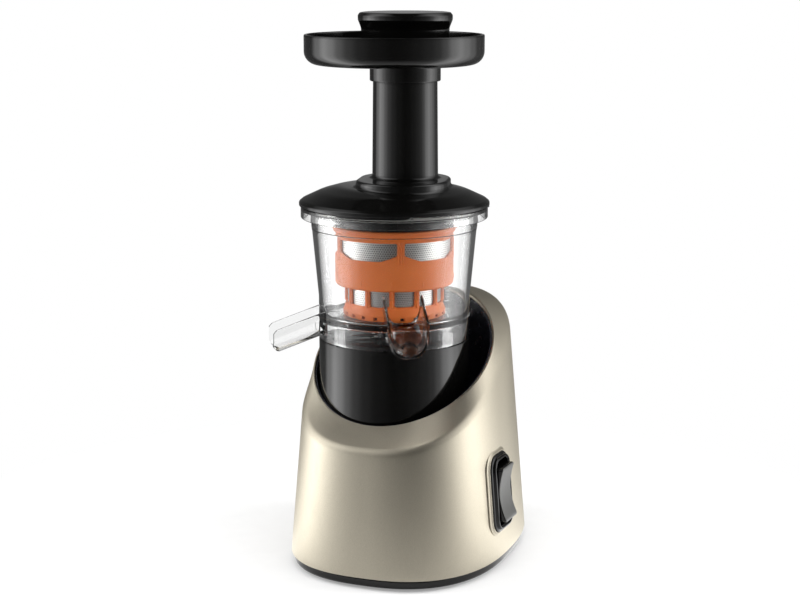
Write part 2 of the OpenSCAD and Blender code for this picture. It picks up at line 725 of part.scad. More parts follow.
module switch_rocker() color([0.12, 0.12, 0.12]) switch_axis() difference() {
  intersection() {
    bezel_block(rocker_w, rocker_h - 2, -8, 16, 3);
    // waisted outline seen from the side, so it swings inside the bezel
    rotate([90, 0, 0]) linear_extrude(rocker_w + 2, center = true) polygon([[-8, -6], [-8, 6], [-2, 20], [1, rocker_h / 2 - 1],
      [8.5, rocker_h / 2 - 1], [9.8, rocker_h / 2 - 4], [6.6, 14], [5.6, 0], [6.6, -14], [9.8, -rocker_h / 2 + 4], [8.5, -rocker_h / 2 + 1], [1, -rocker_h / 2 + 1], [-2, -20]]);
  }
  translate([rocker_px, 0, 0]) rotate([90, 0, 0]) cylinder(r = rocker_pin_r + run_c, h = rocker_w + 8, center = true);
}

// ---------- bowl ----------
// wall of the bowl as a solid of revolution, outer radius moved in by d
module bowl_outer(d) rotate_extrude() polygon([[0, seat_z], [tower_r - d, seat_z], [tower_r - d, flare_z],
  [bowl_top_r - 0.7 - d, flange_z - 11], [bowl_top_r - d, flange_z - 7], [bowl_top_r - d, bowl_top_z], [0, bowl_top_z]]);

// U shaped trough, its lower edge starts at height z0 on the bowl's wall
module trough2d(w, h, t) intersection() {
  difference() {
    union() { translate([0, w / 2]) circle(r = w / 2); translate([-w / 2, w / 2]) square([w, h - w / 2]); }
    union() { translate([0, w / 2]) circle(r = w / 2 - t); translate([-w / 2 + t, w / 2]) square([w - 2 * t, h - w / 2 + 1]); }
  }
  translate([-w / 2, 0]) square([w, h]);
}
module trough_fill2d(w, h, t) union() {
  translate([0, w / 2]) circle(r = w / 2 - t);
  translate([-w / 2 + t, w / 2]) square([w - 2 * t, h - w / 2 - t]);
}
module along_spout(dir, z0, len) rotate([0, 0, dir]) translate([tower_r, 0, z0]) rotate([0, spout_fall, 0])
  translate([-14, 0, 0]) rotate([90, 0, 90]) linear_extrude(len) children();
module spout(dir, z0, w, h, reach) intersection() {
  along_spout(dir, z0, 90) trough2d(w, h, spout_t);
  difference() {
    cyl(reach, z0 - 60, z0 + 60);
    bowl_outer(0);
  }
}
// the spouts are one moulding with the bowl; as nodes of their own their collision follows the troughs
module juice_spout() color([0.85, 0.9, 0.92, 0.35]) spout(juice_dir, bowl_floor_z - 1, spout_w, juice_depth, juice_reach);
module pulp_spout() color([0.85, 0.9, 0.92, 0.35]) spout(pulp_dir, channel_z - 0.4, pulp_w, pulp_depth, pulp_reach);

// The bowl is one clear moulding; its wall, seat, rim, floor, hub and spouts are nodes of their own,
// so that each one's collision follows its shape.
module bowl_shell() difference() {
  bowl_outer(0);
  rotate_extrude() polygon([[0, seat_z - 1], [seat_in, seat_z - 1], [seat_in, flare_z], [ledge_in - 0.4, ledge_z - 3], [ledge_in, ledge_z],
    [bowl_in_top, ledge_z], [bowl_in_top, bowl_top_z + 1], [0, bowl_top_z + 1]]);
  // juice outlet through the wall
  intersection() {
    along_spout(juice_dir, bowl_floor_z - 1, 26) trough_fill2d(spout_w, juice_depth, spout_t);
    cyl(tower_r + 8, bowl_floor_z, bowl_floor_z + juice_depth - 3);
  }
  pulp_channel();
}
module bowl() color([0.85, 0.9, 0.92, 0.35]) difference() {
  bowl_shell();
  cyl(tower_r + 9, seat_z - 1, flare_z);
}
module bowl_seat() color([0.85, 0.9, 0.92, 0.35]) intersection() {
  bowl_shell();
  cyl(tower_r + 9, seat_z - 1, flare_z);
}
module bowl_rim() color([0.85, 0.9, 0.92, 0.35]) union() {
  ring(flange_r, bowl_top_r, bowl_top_z - 3, bowl_top_z);
  ring(flange_r, flange_r - 2.5, flange_z, bowl_top_z);
  // stop tabs of the lid's turn
  for (i = [0:2]) rotate([0, 0, lug_phase + lug_a / 2 + 1.5 + i * 120]) translate([flange_r - 1, -1, bowl_top_z - 5]) cube([2.1, 2, 4.8]);
}
module bowl_floor() color([0.85, 0.9, 0.92, 0.35]) difference() {
  union() {
    ring(seat_in, hub_out, floor_under, bowl_floor_z);
    // channel from the pulp port to the pulp spout
    intersection() {
      rotate([0, 0, pulp_dir]) translate([port_r0 - 4, -pulp_w / 2, channel_z]) cube([tower_r, pulp_w, floor_under - channel_z + 1]);
      ring(seat_in, hub_out, seat_z, bowl_floor_z);
    }
  }
  intersection() {
    rotate([0, 0, pulp_dir]) translate([port_r0 - 2, -port_w / 2, channel_z + 1.6]) cube([60, port_w, 30]);
    difference() { cyl(port_r1, seat_z, bowl_floor_z + 1); cyl(port_r0, seat_z, bowl_floor_z + 1); }
  }
  pulp_channel();
}
// room of the pulp channel, from the port out through the wall
module pulp_channel() intersection() {
  rotate([0, 0, pulp_dir]) translate([port_r0, -port_w / 2, channel_z + 1.6]) cube([60, port_w, floor_under - channel_z - 1.6]);
  cyl(tower_r + 2, seat_z, bowl_floor_z);
}
module bowl_hub() color([0.85, 0.9, 0.92, 0.35]) ring(hub_out, hub_in, floor_under - 5, hub_z);

module bowl_bush() color([0.75, 0.3, 0.25]) ring(hub_in - 0.05, hub_r, floor_under - 5, hub_z);

// silicone lining of the pulp port, open outward below the floor so that the pulp can leave
module port_room(d, z0, z1) intersection() {
  rotate([0, 0, pulp_dir]) translate([port_r0 - 2 + d, -port_w / 2 + d, z0]) cube([60, port_w - 2 * d, z1 - z0]);
  ring(port_r1 - d, port_r0 + d, z0, z1);
}
module pulp_plug() color([0.75, 0.3, 0.25]) difference() {
  port_room(0.05, floor_under - plug_drop, bowl_floor_z - 0.4);
  port_room(plug_t, floor_under - plug_drop - 1, bowl_floor_z + 1);
  rotate([0, 0, pulp_dir]) translate([port_r0 + 4, -port_w / 2 + plug_t, floor_under - plug_drop - 1]) cube([60, port_w - 2 * plug_t, plug_drop - 1]);
}

// ---------- strainer ----------
// The strainer's frame is one moulding too; its top flange and its foot are nodes of their own.
module strainer_frame() color([0.86, 0.45, 0.2]) difference() {
  rotate_extrude() polygon([[drum_low_r, band_z0], [str_r - 1, band_z0], [str_r, band_z0 + 1.5], [str_r, win_z1 + 1.5], [str_r + 1.8, win_z1 + 3],
    [str_r + 1.8, ledge_z], [drum_r, ledge_z], [drum_r, band_z0 + 2], [drum_low_r, band_z0 + 2]]);
  // upper windows
  for (i = [0:4]) rotate([0, 0, juice_dir + i * rib_angle + rib_angle / 2]) window(rib_angle - 7, band_z1, win_z1, str_r);
}
module strainer_flange() color([0.86, 0.45, 0.2]) ring(str_r + str_flange_w, drum_r, ledge_z, str_top);
module strainer_foot() color([0.86, 0.45, 0.2]) difference() {
  rotate_extrude() polygon([[drum_low_r, bowl_floor_z], [str_low_r + 2, bowl_floor_z], [str_low_r + 2, bowl_floor_z + 5.5], [str_low_r, low_ring_z],
    [str_low_r, band_z0], [drum_low_r, band_z0]]);
  // lower windows
  for (i = [0:11]) rotate([0, 0, juice_dir - 9 + i * 30 + 15]) window(30 - 6, low_ring_z + 1.5, band_z0 - 1, str_low_r);
  // drain notches in the foot
  for (i = [0:23]) rotate([0, 0, i * 15]) translate([drum_low_r - 2, -1.5, bowl_floor_z + 1.2]) cube([8, 3, 2.6]);
}
module window(a, z0, z1, r) translate([0, 0, z0]) linear_extrude(z1 - z0) difference() {
  intersection() {
    circle(r = r + 4);
    polygon([[0, 0], for (k = [-3:3]) 2 * r * [cos(k * a / 6), sin(k * a / 6)]]);
  }
  circle(r = r - 6);
}
module strainer_drum_upper() color([0.8, 0.8, 0.8]) ring(drum_r, drum_r - drum_t, band_z0 + 2, str_top - 1);
module strainer_drum_lower() color([0.8, 0.8, 0.8]) ring(drum_low_r, drum_low_r - drum_t, bowl_floor_z + 4.5, band_z0 + 1.5);

// ---------- auger ----------
// outer radius of the flight and radius of the core at the height z
function flight_r(z) = z < band_z0 + 2.3 + flight_dz ? auger_low_r
  : z < win_z1 ? auger_r : auger_r + (core_top_r + 7 - auger_r) * (z - win_z1) / (auger_top_z - win_z1);
function core_r(z) = z < band_z0 ? auger_low_r - 7 - 2 * (z - auger_z) / (band_z0 - auger_z)
  : auger_low_r - 9 + (core_top_r - auger_low_r + 9) * (z - band_z0) / (auger_top_z - band_z0);
// the grid's step in height is one angular step of the helix, so the flight's edges follow the grid
flight_n = 24;
flight_dz = auger_pitch / flight_n;
flight_rings = floor((auger_top_z - auger_z) / flight_dz);
function flight_at(i, j) = j < 3 ? true : j > flight_rings - 3 ? false : (((j - i) % flight_n) + flight_n) % flight_n < 4;
module auger() color([0.12, 0.11, 0.1]) difference() {
  polyhedron(
    points = [for (j = [0:flight_rings], i = [0:flight_n - 1]) let (z = auger_z + j * flight_dz, r = flight_at(i, j) ? flight_r(z) : core_r(z))
      [r * cos(i * 360 / flight_n), r * sin(i * 360 / flight_n), z]],
    faces = concat([[for (i = [0:flight_n - 1]) i]],
      [for (j = [0:flight_rings - 1], i = [0:flight_n - 1]) let (k = (i + 1) % flight_n, b = j * flight_n, t = b + flight_n) each [[b + i, t + k, b + k], [b + i, t + i, t + k]]],
      [[for (i = [flight_n - 1:-1:0]) flight_rings * flight_n + i]]));
  cyl(hub_out + 0.8, auger_z - 1, hub_z + 1);
  cyl(socket_r + 0.05, hub_z, socket_top + 0.05);
}

module auger_drive_socket() color([0.7, 0.7, 0.72]) difference() {
  cyl(socket_r, socket_z, socket_top);
  rotate([0, 0, 30]) translate([0, 0, socket_z - 1]) cylinder(d = (out_af + 0.5) / cos(30), h = out_top_z + 1.5 - socket_z + 1, $fn = 6);
}

// ---------- lid ----------
module lid_seal() color([0.85, 0.85, 0.82]) ring(spigot_r + 0.15, spigot_r - 1.6, lid_low - 5.4, lid_low - 2.4);

module dome_solid() rotate_extrude() polygon([[0, lid_low], [lid_r, lid_low], [lid_r, lid_low + 2.6], [lid_r - 2.5, lid_low + 4.6],
  [lid_r - 16.4, dome_z - 4.8], [lid_r - 30.6, dome_z - 0.8], [lid_r - 41, dome_z], [0, dome_z]]);
// The lid's shell, plate, funnel, inner ring and chute are one black moulding, as nodes of their own for the same reason as the bowl's.
module lid() color([0.02, 0.02, 0.02]) difference() {
  union() {
    dome_solid();
    // lugs outside the bowl's rim
    for (i = [0:2]) rotate([0, 0, lug_phase + i * 120]) intersection() {
      ring(lid_r - 0.25, flange_r + 0.3, lid_low - 3, lid_low + 1);
      linear_extrude(chute_top_z) polygon([[0, 0], for (k = [-2:2]) 2 * lid_r * [cos(k * lug_a / 4), sin(k * lug_a / 4)]]);
    }
    // spigot
    cyl(spigot_r, lid_low - 7, lid_low + 1);
  }
  // hollow under the dome
  rotate_extrude() polygon([[drum_r + 1.5, press_z - 10], [spigot_r - 2.6, press_z - 10], [spigot_r - 2.6, lid_low + 1], [lid_r - 17.4, dome_z - 5.8 - lid_t],
    [drum_r + 1.5, dome_z - 2 - lid_t]]);
  // room of the holding ring, the funnel and the plate
  cyl(drum_r + 1.5, press_z - 10, dome_z + 1);
  // groove of the seal
  difference() { cyl(spigot_r + 2, lid_low - 5.6, lid_low - 2.2); cyl(spigot_r - 1.8, lid_low - 6, lid_low - 2); }
}
// middle of the dome, above the strainer
module lid_plate() color([0.02, 0.02, 0.02]) difference() {
  intersection() { dome_solid(); cyl(drum_r + 1.5, dome_z - lid_t, dome_z + 1); }
  chute_axis() cyl(chute_bore_r, dome_z - 12, chute_top_z + 1);
}
// funnel from the plate's underside down to the holding ring
module lid_funnel() color([0.02, 0.02, 0.02]) rotate_extrude() polygon([[drum_r - 0.6, dome_z - 11.5], [drum_r + 1.5, dome_z - 11.5], [drum_r + 1.5, dome_z - lid_t],
  [drum_r - 5.1, dome_z - lid_t]]);
// ring under the lid that holds the strainer down
module lid_ring() color([0.02, 0.02, 0.02]) ring(drum_r + 1.5, drum_r - 0.6, press_z, dome_z - 11.5);
// foot of the chute on the dome
module chute_plinth() color([0.02, 0.02, 0.02]) difference() {
  translate([0, 0, dome_z - 5]) linear_extrude(plinth_z - dome_z + 5) plinth2d();
  dome_solid();
  chute_axis() cyl(chute_bore_r, dome_z - 12, plinth_z + 1);
}
module feed_chute() color([0.02, 0.02, 0.02]) chute_axis() difference() {
  union() {
    translate([0, 0, plinth_z]) cylinder(r1 = chute_r0, r2 = chute_r1, h = tray_z - collar_l - plinth_z - 3);
    cyl(chute_r1, tray_z - collar_l - 3 - eps, chute_top_z);
  }
  cyl(chute_bore_r, plinth_z - 1, chute_top_z + 1);
}
module plinth2d() hull() { translate([chute_x, chute_y]) circle(r = plinth_r); translate([chute_x + 3.5, chute_y - 16]) circle(r = plinth_r); }

// ---------- tray and pusher ----------
module tray_solid(d) union() {
  rotate_extrude() union() {
    translate([0, tray_z + d]) square([tray_r - tray_round, tray_h - d + (d > 0 ? 1 : 0)]);
    translate([0, tray_z + tray_round]) square([tray_r - d, tray_h - tray_round + (d > 0 ? 1 : 0)]);
    translate([tray_r - tray_round, tray_z + tray_round]) intersection() {
      circle(r = tray_round - d);
      translate([0, -tray_round]) square(tray_round);
    }
  }
}
module feed_tray() color([0.02, 0.02, 0.02]) difference() {
  union() {
    difference() { tray_solid(0); tray_solid(tray_t); }
    chute_axis() cyl(collar_out, tray_z - collar_l, tray_z + tray_t);
  }
  chute_axis() cyl(chute_bore_r, tray_z - 1, tray_z + 20);
  chute_axis() cyl(collar_in, tray_z - collar_l - 1, tray_z);
}

module pusher_body() color([0.02, 0.02, 0.02]) chute_axis() difference() {
  cyl(chute_bore_r - pusher_gap, pusher_z, pusher_seat);
  cyl(chute_bore_r - pusher_gap - pusher_t, pusher_z + 3, pusher_seat + 1);
}

module pusher_cap() color([0.02, 0.02, 0.02]) chute_axis() difference() {
  rotate_extrude() polygon([[0, pusher_seat], [cap_r - 3.2, pusher_seat], [cap_r - 2.4, cap_z - 12], [cap_r, cap_z - 6],
    [cap_r, cap_z - 2.4], [cap_r - 1.6, cap_z - 0.4], [cap_r - 4.4, cap_z], [0, cap_z]]);
  cyl(cap_r - 6, pusher_seat + pusher_t, cap_z - 3);
  cyl(chute_bore_r - pusher_gap - pusher_t, pusher_seat - 1, cap_z - 3);
}

place() housing();
place() chassis();
place() recess_wall();
place() base_plate();
place() feet();
place() base_screws();
place() drive_tower();
place() tower_screws();
place() gearbox_base();
place() gearbox_cover();
place() gearbox_screws();
place() intermediate_pin();
place() output_bearings();
place() shaft_seal();
place() motor_can();
place() motor_stator();
place() motor_windings();
place() motor_bracket();
place() motor_bearings();
place() motor_screws();
place() control_board();
place() board_components();
place() switch_bezel();
place() switch_body();
place() rocker_pin();
place() cord_gland();
place() motor_shaft();
place() motor_rotor();
place() cooling_fan();
place() motor_pinion();
place() intermediate_gear();
place() output_gear();
place() output_shaft();
place() switch_rocker();
place() bowl();
place() bowl_seat();
place() bowl_rim();
place() bowl_floor();
place() bowl_hub();
place() juice_spout();
place() pulp_spout();
place() bowl_bush();
place() pulp_plug();
place() strainer_frame();
place() strainer_flange();
place() strainer_foot();
place() strainer_drum_upper();
place() strainer_drum_lower();
place() auger();
place() auger_drive_socket();
place() lid_seal();
place() lid();
place() lid_plate();
place() lid_funnel();
place() lid_ring();
place() chute_plinth();
place() feed_chute();
place() feed_tray();
place() pusher_body();
place() pusher_cap();
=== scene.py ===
# Cold press juicer: the looks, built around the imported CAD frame.
# Lengths are millimetres about the bowl's axis, as in the CAD source, and become metres in the row frame.
from math import acos, atan, atan2, copysign, cos, degrees, hypot, pi, radians, sin, tan

import bmesh
import bpy
import numpy as np
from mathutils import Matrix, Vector
from numpy.linalg import norm

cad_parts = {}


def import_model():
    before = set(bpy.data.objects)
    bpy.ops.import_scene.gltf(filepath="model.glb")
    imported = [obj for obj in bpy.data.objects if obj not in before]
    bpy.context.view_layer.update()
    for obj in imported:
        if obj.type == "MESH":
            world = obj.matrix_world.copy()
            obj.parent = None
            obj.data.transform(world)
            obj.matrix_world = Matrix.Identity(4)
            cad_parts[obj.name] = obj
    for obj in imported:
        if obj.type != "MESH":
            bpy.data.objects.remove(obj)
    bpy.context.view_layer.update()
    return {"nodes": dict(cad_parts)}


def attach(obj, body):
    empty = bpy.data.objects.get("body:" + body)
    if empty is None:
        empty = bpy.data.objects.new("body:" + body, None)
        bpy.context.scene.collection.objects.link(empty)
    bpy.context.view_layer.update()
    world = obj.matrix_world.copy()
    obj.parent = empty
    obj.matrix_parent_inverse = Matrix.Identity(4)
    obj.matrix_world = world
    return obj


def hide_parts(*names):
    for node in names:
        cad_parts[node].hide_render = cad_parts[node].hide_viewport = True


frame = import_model()

# the bowl's axis as seen from the row frame's origin
ORIGIN = (6.015, 19.02)

# ---- sizes, as in the CAD source
# housing: plan, draft of its walls, crease, tilted rim of the recess, and the cord's inlet
BODY_HALF_W, BODY_FRONT, BODY_REAR = 87.2, 106.5, 122.0
BODY_X, BODY_Y, BODY_N, DRAFT = 8.5, 10.5, 2.5, 4.65
EDGE_Z, SHELL_T = 9.5, 2.2
CREASE_Z, CREASE_RISE = 148.5, 0.455
RIM_Z, RIM_TILT, RIM_FLAT, RIM_DEEP = 160.5, 31.1, 1.6, 5.0
RIM_R, RIM_X, RIM_Y = 71.3, 4.9, 7.7
GLAND_Z, GLAND_HOLE = 30.0, 7.2
# switch, measured along the wall
SWITCH_Y, SWITCH_Z = 17.0, 62.0
BEZEL_W, BEZEL_H, BEZEL_ROUND, BARREL_IN = 36.0, 62.0, 11.4, 6.0
ROCKER_W, ROCKER_H = 25.0, 48.0
# recess tub with its legs, drive tower, base plate, feet
TUB_R, TUB_T, TUB_DROP, TUB_ROUND, TUB_HOLE = 71.1, 1.6, 1.2, 2.5, 34.0
FLOOR_Z, FLOOR_T = 104.3, 3.3
LEG_AT, LEG_ANGLES = 64.0, (-135, -45, 45, 135)
TOWER_R, TOWER_T, TOWER_TOP, TOWER_CROWN = 60.0, 3.0, 179.7, 182.2
PLATE_Z, PLATE_INSET = 2.0, 2.0
FOOT_R, FOOT_H = 9.0, 4.0
FEET = [(BODY_X + x, BODY_Y + 6 + y) for x in (-59, 59) for y in (-65, 65)]
# bowl, its hub, spouts and pulp port
BOWL_T, SEAT_Z, BOWL_Z, UNDER_Z, FLARE_Z = 3.0, 180.0, 198.0, 195.0, 213.0
SEAT_IN = TOWER_R - BOWL_T
BOWL_TOP_R, LEDGE_Z, FLANGE_Z, FLANGE_R, BOWL_TOP_Z = 65.5, 268.0, 276.0, 73.7, 285.3
BOWL_IN_TOP, LEDGE_IN, FLANGE_T, RIM_T = 62.5, 61.2, 2.5, 3.0
HUB_R, HUB_IN, HUB_OUT, HUB_Z, HUB_LOW = 10.0, 11.55, 13.55, 212.0, UNDER_Z - 5
SPOUT_FALL, SPOUT_T, CHANNEL_Z = 19.0, 2.0, 183.2
JUICE_DIR, JUICE_W, JUICE_REACH, JUICE_DEPTH = -62.6, 31.0, 101.0, 25.0
PULP_DIR, PULP_W, PULP_REACH, PULP_DEPTH = -147.0, 30.0, 100.0, 20.0
# strainer and auger
STR_R, STR_LOW, STR_T, DRUM_T = 46.8, 38.5, 1.7, 0.6
STR_FOOT_W, STR_COLLAR_W, STR_FLANGE_W = 2.2, 1.8, 3.6
BAND_Z0, BAND_Z1, WIN_Z1, LOW_Z = 224.0, 247.5, 262.0, 208.5
STR_TOP = LEDGE_Z + 2.5
DRUM_R, DRUM_LOW = STR_R - STR_T, STR_LOW - STR_T
PORT_R0, PORT_R1, PLUG_T = HUB_OUT + 3, DRUM_LOW - DRUM_T - 1.5, 1.5
PORT_HALF = PULP_W / 2 - SPOUT_T - 1
AUGER_Z, AUGER_TOP, AUGER_PITCH, CORE_TOP_R, AUGER_GAP = 199.0, 291.0, 34.0, 13.0, 1.2
# lid with its chute, tray, pusher
LID_R, LID_LOW, LID_T, DOME_Z, PLINTH_Z = 75.0, 285.6, 3.0, 301.5, 306.5
SPIGOT_R, PRESS_Z = BOWL_IN_TOP - 0.35, STR_TOP + 0.3
LUG_A, LUG_PHASE = 46.0, -83.0
CHUTE, CHUTE_BORE, CHUTE_R0, CHUTE_R1, CHUTE_TOP = (6.5, 7.0), 22.5, 25.9, 25.2, 394.7
TRAY_R, TRAY_Z, TRAY_H, TRAY_T, TRAY_ROUND = 70.0, 395.0, 23.0, 2.5, 13.0
COLLAR_L, COLLAR_IN, COLLAR_OUT = 13.0, 25.5, 27.7
PUSHER_R, PUSHER_Z, PUSHER_T, CAP_R, CAP_Z = 22.15, 318.0, 2.5, 36.8, 435.0

PLAN_N = 192
BOTH = (True, True)


# ---- mesh helpers
def rounded(points, seg=4):
    """Closed outline of (x, y, radius) corners, each an arc."""
    out = []
    for i, (x, y, r) in enumerate(points):
        p = np.array((x, y), float)
        if r <= 0:
            out.append(p)
            continue
        a, b = (np.array(q[:2], float) - p for q in (points[i - 1], points[(i + 1) % len(points)]))
        la, lb = norm(a), norm(b)
        a, b = a / la, b / lb
        half = acos(float(np.clip(a @ b, -0.99999, 0.99999))) / 2
        d = min(r / tan(half), la * 0.48, lb * 0.48)
        rr = d * tan(half)
        c = p + (a + b) / norm(a + b) * (rr / sin(half))
        t0, t1 = (atan2(*(p + v * d - c)[::-1]) for v in (a, b))
        turn = (t1 - t0 + pi) % (2 * pi) - pi
        for k in range(seg + 1):
            t = t0 + turn * k / seg
            out.append(c + rr * np.array((cos(t), sin(t))))
    return np.array(out)


def is_open(outline):
    """An outline that starts on the axis also ends there; any other is closed."""
    return abs(outline[0][0]) < 1e-6


def densified(outline, step):
    """An outline with no two points more than about a step apart."""
    out = []
    for p, q in zip(outline, outline[1:] if is_open(outline) else np.roll(outline, -1, axis=0)):
        k = max(1, int(norm(q - p) // step))
        out += [p + (q - p) * i / k for i in range(k)]
    return out + [outline[-1]] if is_open(outline) else out


def circle(n):
    return np.arange(n) * 2 * pi / n


def quarter(n):
    """Angles of a quarter turn in n steps."""
    return [pi / 2 * k / n for k in range(n + 1)]


def skin(rows, loop_rows=False, caps=(False, False)):
    """Vertices and faces over rows of points; a row of one point is a pole."""
    verts, ids, faces = [], [], []
    for row in rows:
        ids.append(list(range(len(verts), len(verts) + len(row))))
        verts += [tuple(p) for p in row]
    for a, b in list(zip(ids, ids[1:])) + ([(ids[-1], ids[0])] if loop_rows else []):
        n = max(len(a), len(b))
        for i in range(n):
            j = (i + 1) % n
            # beside a pole two corners are one, and the face is a triangle
            corners = (a[i % len(a)], a[j % len(a)], b[j % len(b)], b[i % len(b)])
            faces.append(tuple(dict.fromkeys(corners)))
    if caps[0]:
        faces.append(tuple(reversed(ids[0])))
    if caps[1]:
        faces.append(tuple(ids[-1]))
    return verts, faces


def ring(r, z, n=144, centre=(0.0, 0.0)):
    """Level circle of n points."""
    return [(centre[0] + r * cos(a), centre[1] + r * sin(a), z) for a in circle(n)]


def lathe(outline, n=128, centre=(0.0, 0.0)):
    """Solid of revolution of (r, z) points."""
    rows = [ring(r, z, n, centre) if r > 1e-6 else [(*centre, z)] for r, z in outline]
    return skin(rows, loop_rows=not is_open(outline))


def cylinder(r, z0, z1, n=128, centre=(0.0, 0.0)):
    return lathe([(0, z0), (r, z0), (r, z1), (0, z1)], n, centre)


def tube(r0, r1, z0, z1, n=96):
    return lathe([(r0, z0), (r1, z0), (r1, z1), (r0, z1)], n)


def box_mesh(x0, y0, z0, x1, y1, z1):
    v = [(x, y, z) for z in (z0, z1) for x, y in ((x0, y0), (x1, y0), (x1, y1), (x0, y1))]
    return v, [(0, 3, 2, 1), (4, 5, 6, 7), (0, 1, 5, 4), (1, 2, 6, 5), (2, 3, 7, 6), (3, 0, 4, 7)]


def join(*meshes):
    """Several (verts, faces) as one."""
    verts, faces = [], []
    for v, f in meshes:
        k = len(verts)
        verts += list(v)
        faces += [tuple(i + k for i in face) for face in f]
    return verts, faces


def turned(mesh, angle):
    """A mesh turned by degrees about the bowl's axis."""
    c, s = cos(radians(angle)), sin(radians(angle))
    return [(x * c - y * s, x * s + y * c, z) for x, y, z in mesh[0]], mesh[1]


def placed(name, data):
    """A new object in the scene."""
    ob = bpy.data.objects.new(name, data)
    bpy.context.scene.collection.objects.link(ob)
    return ob


def raw(name, mesh):
    """An object of (verts, faces) in millimetres about the bowl's axis, its normals outward."""
    co = np.array(mesh[0], float)
    co[:, :2] -= ORIGIN
    me = bpy.data.meshes.new(name)
    me.from_pydata((co * 0.001).tolist(), [], [list(f) for f in mesh[1]])
    bm = bmesh.new()
    bm.from_mesh(me)
    bmesh.ops.remove_doubles(bm, verts=bm.verts, dist=1e-7)
    bmesh.ops.recalc_face_normals(bm, faces=bm.faces)
    bm.to_mesh(me)
    bm.free()
    return placed(name, me)


def applied(ob, kind, **values):
    """ob with a modifier applied."""
    mod = ob.modifiers.new(kind.lower(), kind)
    for key, value in values.items():
        setattr(mod, key, value)
    bpy.context.view_layer.update()
    made = bpy.data.meshes.new_from_object(ob.evaluated_get(bpy.context.evaluated_depsgraph_get()))
    ob.modifiers.clear()
    ob.data = made
    return ob


def bevelled(ob, width):
    """ob with its sharp edges rounded off."""
    return applied(ob, "BEVEL", width=width * 0.001, segments=2, limit_method="ANGLE", angle_limit=radians(35),
                   use_clamp_overlap=True)


def combined(ob, other, operation):
    """ob after a boolean with a closed mesh, or with an object, which goes away."""
    tool = other if isinstance(other, bpy.types.Object) else raw("tool", other)
    applied(ob, "BOOLEAN", object=tool, operation=operation, solver="EXACT")
    bpy.data.objects.remove(tool)
    return ob


def cut(ob, other):
    return combined(ob, other, "DIFFERENCE")


def add(ob, other):
    return combined(ob, other, "UNION")


def keep(ob, other):
    return combined(ob, other, "INTERSECT")


def piece(ob, slot, body, replaces="", angle=40, materials=None, second=None):
    """Gives a piece its materials, sharp edges above the angle, its body and the nodes it stands for. Faces whose
    normal passes the test get the second material."""
    me = ob.data
    me.materials.clear()
    for m in materials or (FINISH[slot],):
        me.materials.append(m)
    me.polygons.foreach_set("use_smooth", [True] * len(me.polygons))
    me.set_sharp_from_angle(angle=radians(angle))
    me.polygons.foreach_set("material_index", [int(second(p.normal)) if second else 0 for p in me.polygons])
    me.update()
    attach(ob, body)
    if replaces:
        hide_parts(*replaces.split())
    return ob


# ---- material helpers
def links(t, *pairs):
    for a, b in pairs:
        t.links.new(a, b)


def filled(n, values):
    """A node with its input sockets or its properties set by name."""
    for key, value in values.items():
        socket = key.replace("_", " ")
        if socket in n.inputs:
            n.inputs[socket].default_value = value
        else:
            setattr(n, key, value)
    return n


def shade(name, **sockets):
    """A Principled material with constants on the shader's own sockets."""
    m = bpy.data.materials.new(name)
    m.use_nodes = True
    return m, m.node_tree, filled(m.node_tree.nodes["Principled BSDF"], sockets)


def node(t, kind, **values):
    return filled(t.nodes.new("ShaderNode" + kind), values)


def calc(t, op, a, b=None):
    """A Math node's result; a and b are sockets or numbers."""
    n = node(t, "Math", operation=op)
    for k, v in enumerate((a, b)):
        if isinstance(v, (int, float)):
            n.inputs[k].default_value = v
        elif v is not None:
            links(t, (v, n.inputs[k]))
    return n.outputs[0]


def dot(t, x, y, u, v):
    """x * u + y * v"""
    return calc(t, "ADD", calc(t, "MULTIPLY", x, u), calc(t, "MULTIPLY", y, v))


def coords(t, scale=(1, 1, 1)):
    mp = node(t, "Mapping", Scale=scale)
    links(t, (node(t, "TexCoord").outputs["Object"], mp.inputs["Vector"]))
    return mp.outputs["Vector"]


def noise(t, vector, scale, detail=3.0, rough=0.5):
    n = node(t, "TexNoise", Scale=scale, Detail=detail, Roughness=rough)
    links(t, (vector, n.inputs["Vector"]))
    return n.outputs["Fac"]


def ranged(t, value, lo, hi, frm=(0.3, 0.7)):
    """value carried to lo ... hi and clamped."""
    n = node(t, "MapRange", From_Min=frm[0], From_Max=frm[1], To_Min=lo, To_Max=hi)
    links(t, (value, n.inputs["Value"]))
    return n.outputs["Result"]


def blended(t, fac, a, b):
    """Colour between a and b; each is a colour, or b a socket."""
    n = node(t, "Mix", data_type="RGBA")
    n.inputs["A"].default_value = (*a, 1)
    if isinstance(b, tuple):
        n.inputs["B"].default_value = (*b, 1)
    else:
        links(t, (b, n.inputs["B"]))
    links(t, (fac, n.inputs["Factor"]))
    return n.outputs["Result"]


def surface(t, bsdf, colour, rough, height, strength, distance):
    """Links colour, roughness and a bump of that height to the shader."""
    bump = node(t, "Bump", Strength=strength, Distance=distance)
    links(t, (colour, bsdf.inputs["Base Color"]), (rough, bsdf.inputs["Roughness"]),
          (height, bump.inputs["Height"]), (bump.outputs["Normal"], bsdf.inputs["Normal"]))


# ---- materials
SOFT_RADIUS = (0.004, 0.002, 0.001)


def moulded(name, dark, light, rough, grain, bump, soft=0.0):
    """Moulded plastic or rubber with a fine grain; a soft one scatters light inside."""
    m, t, bsdf = shade(name, **({"Subsurface_Weight": soft, "Subsurface_Radius": SOFT_RADIUS} if soft else {}))
    v = coords(t)
    colour = blended(t, ranged(t, noise(t, v, 14, 4), 0, 1), dark, light)
    surface(t, bsdf, colour, ranged(t, noise(t, v, 55, 5), *rough), noise(t, v, grain), bump, 0.00005)
    return m


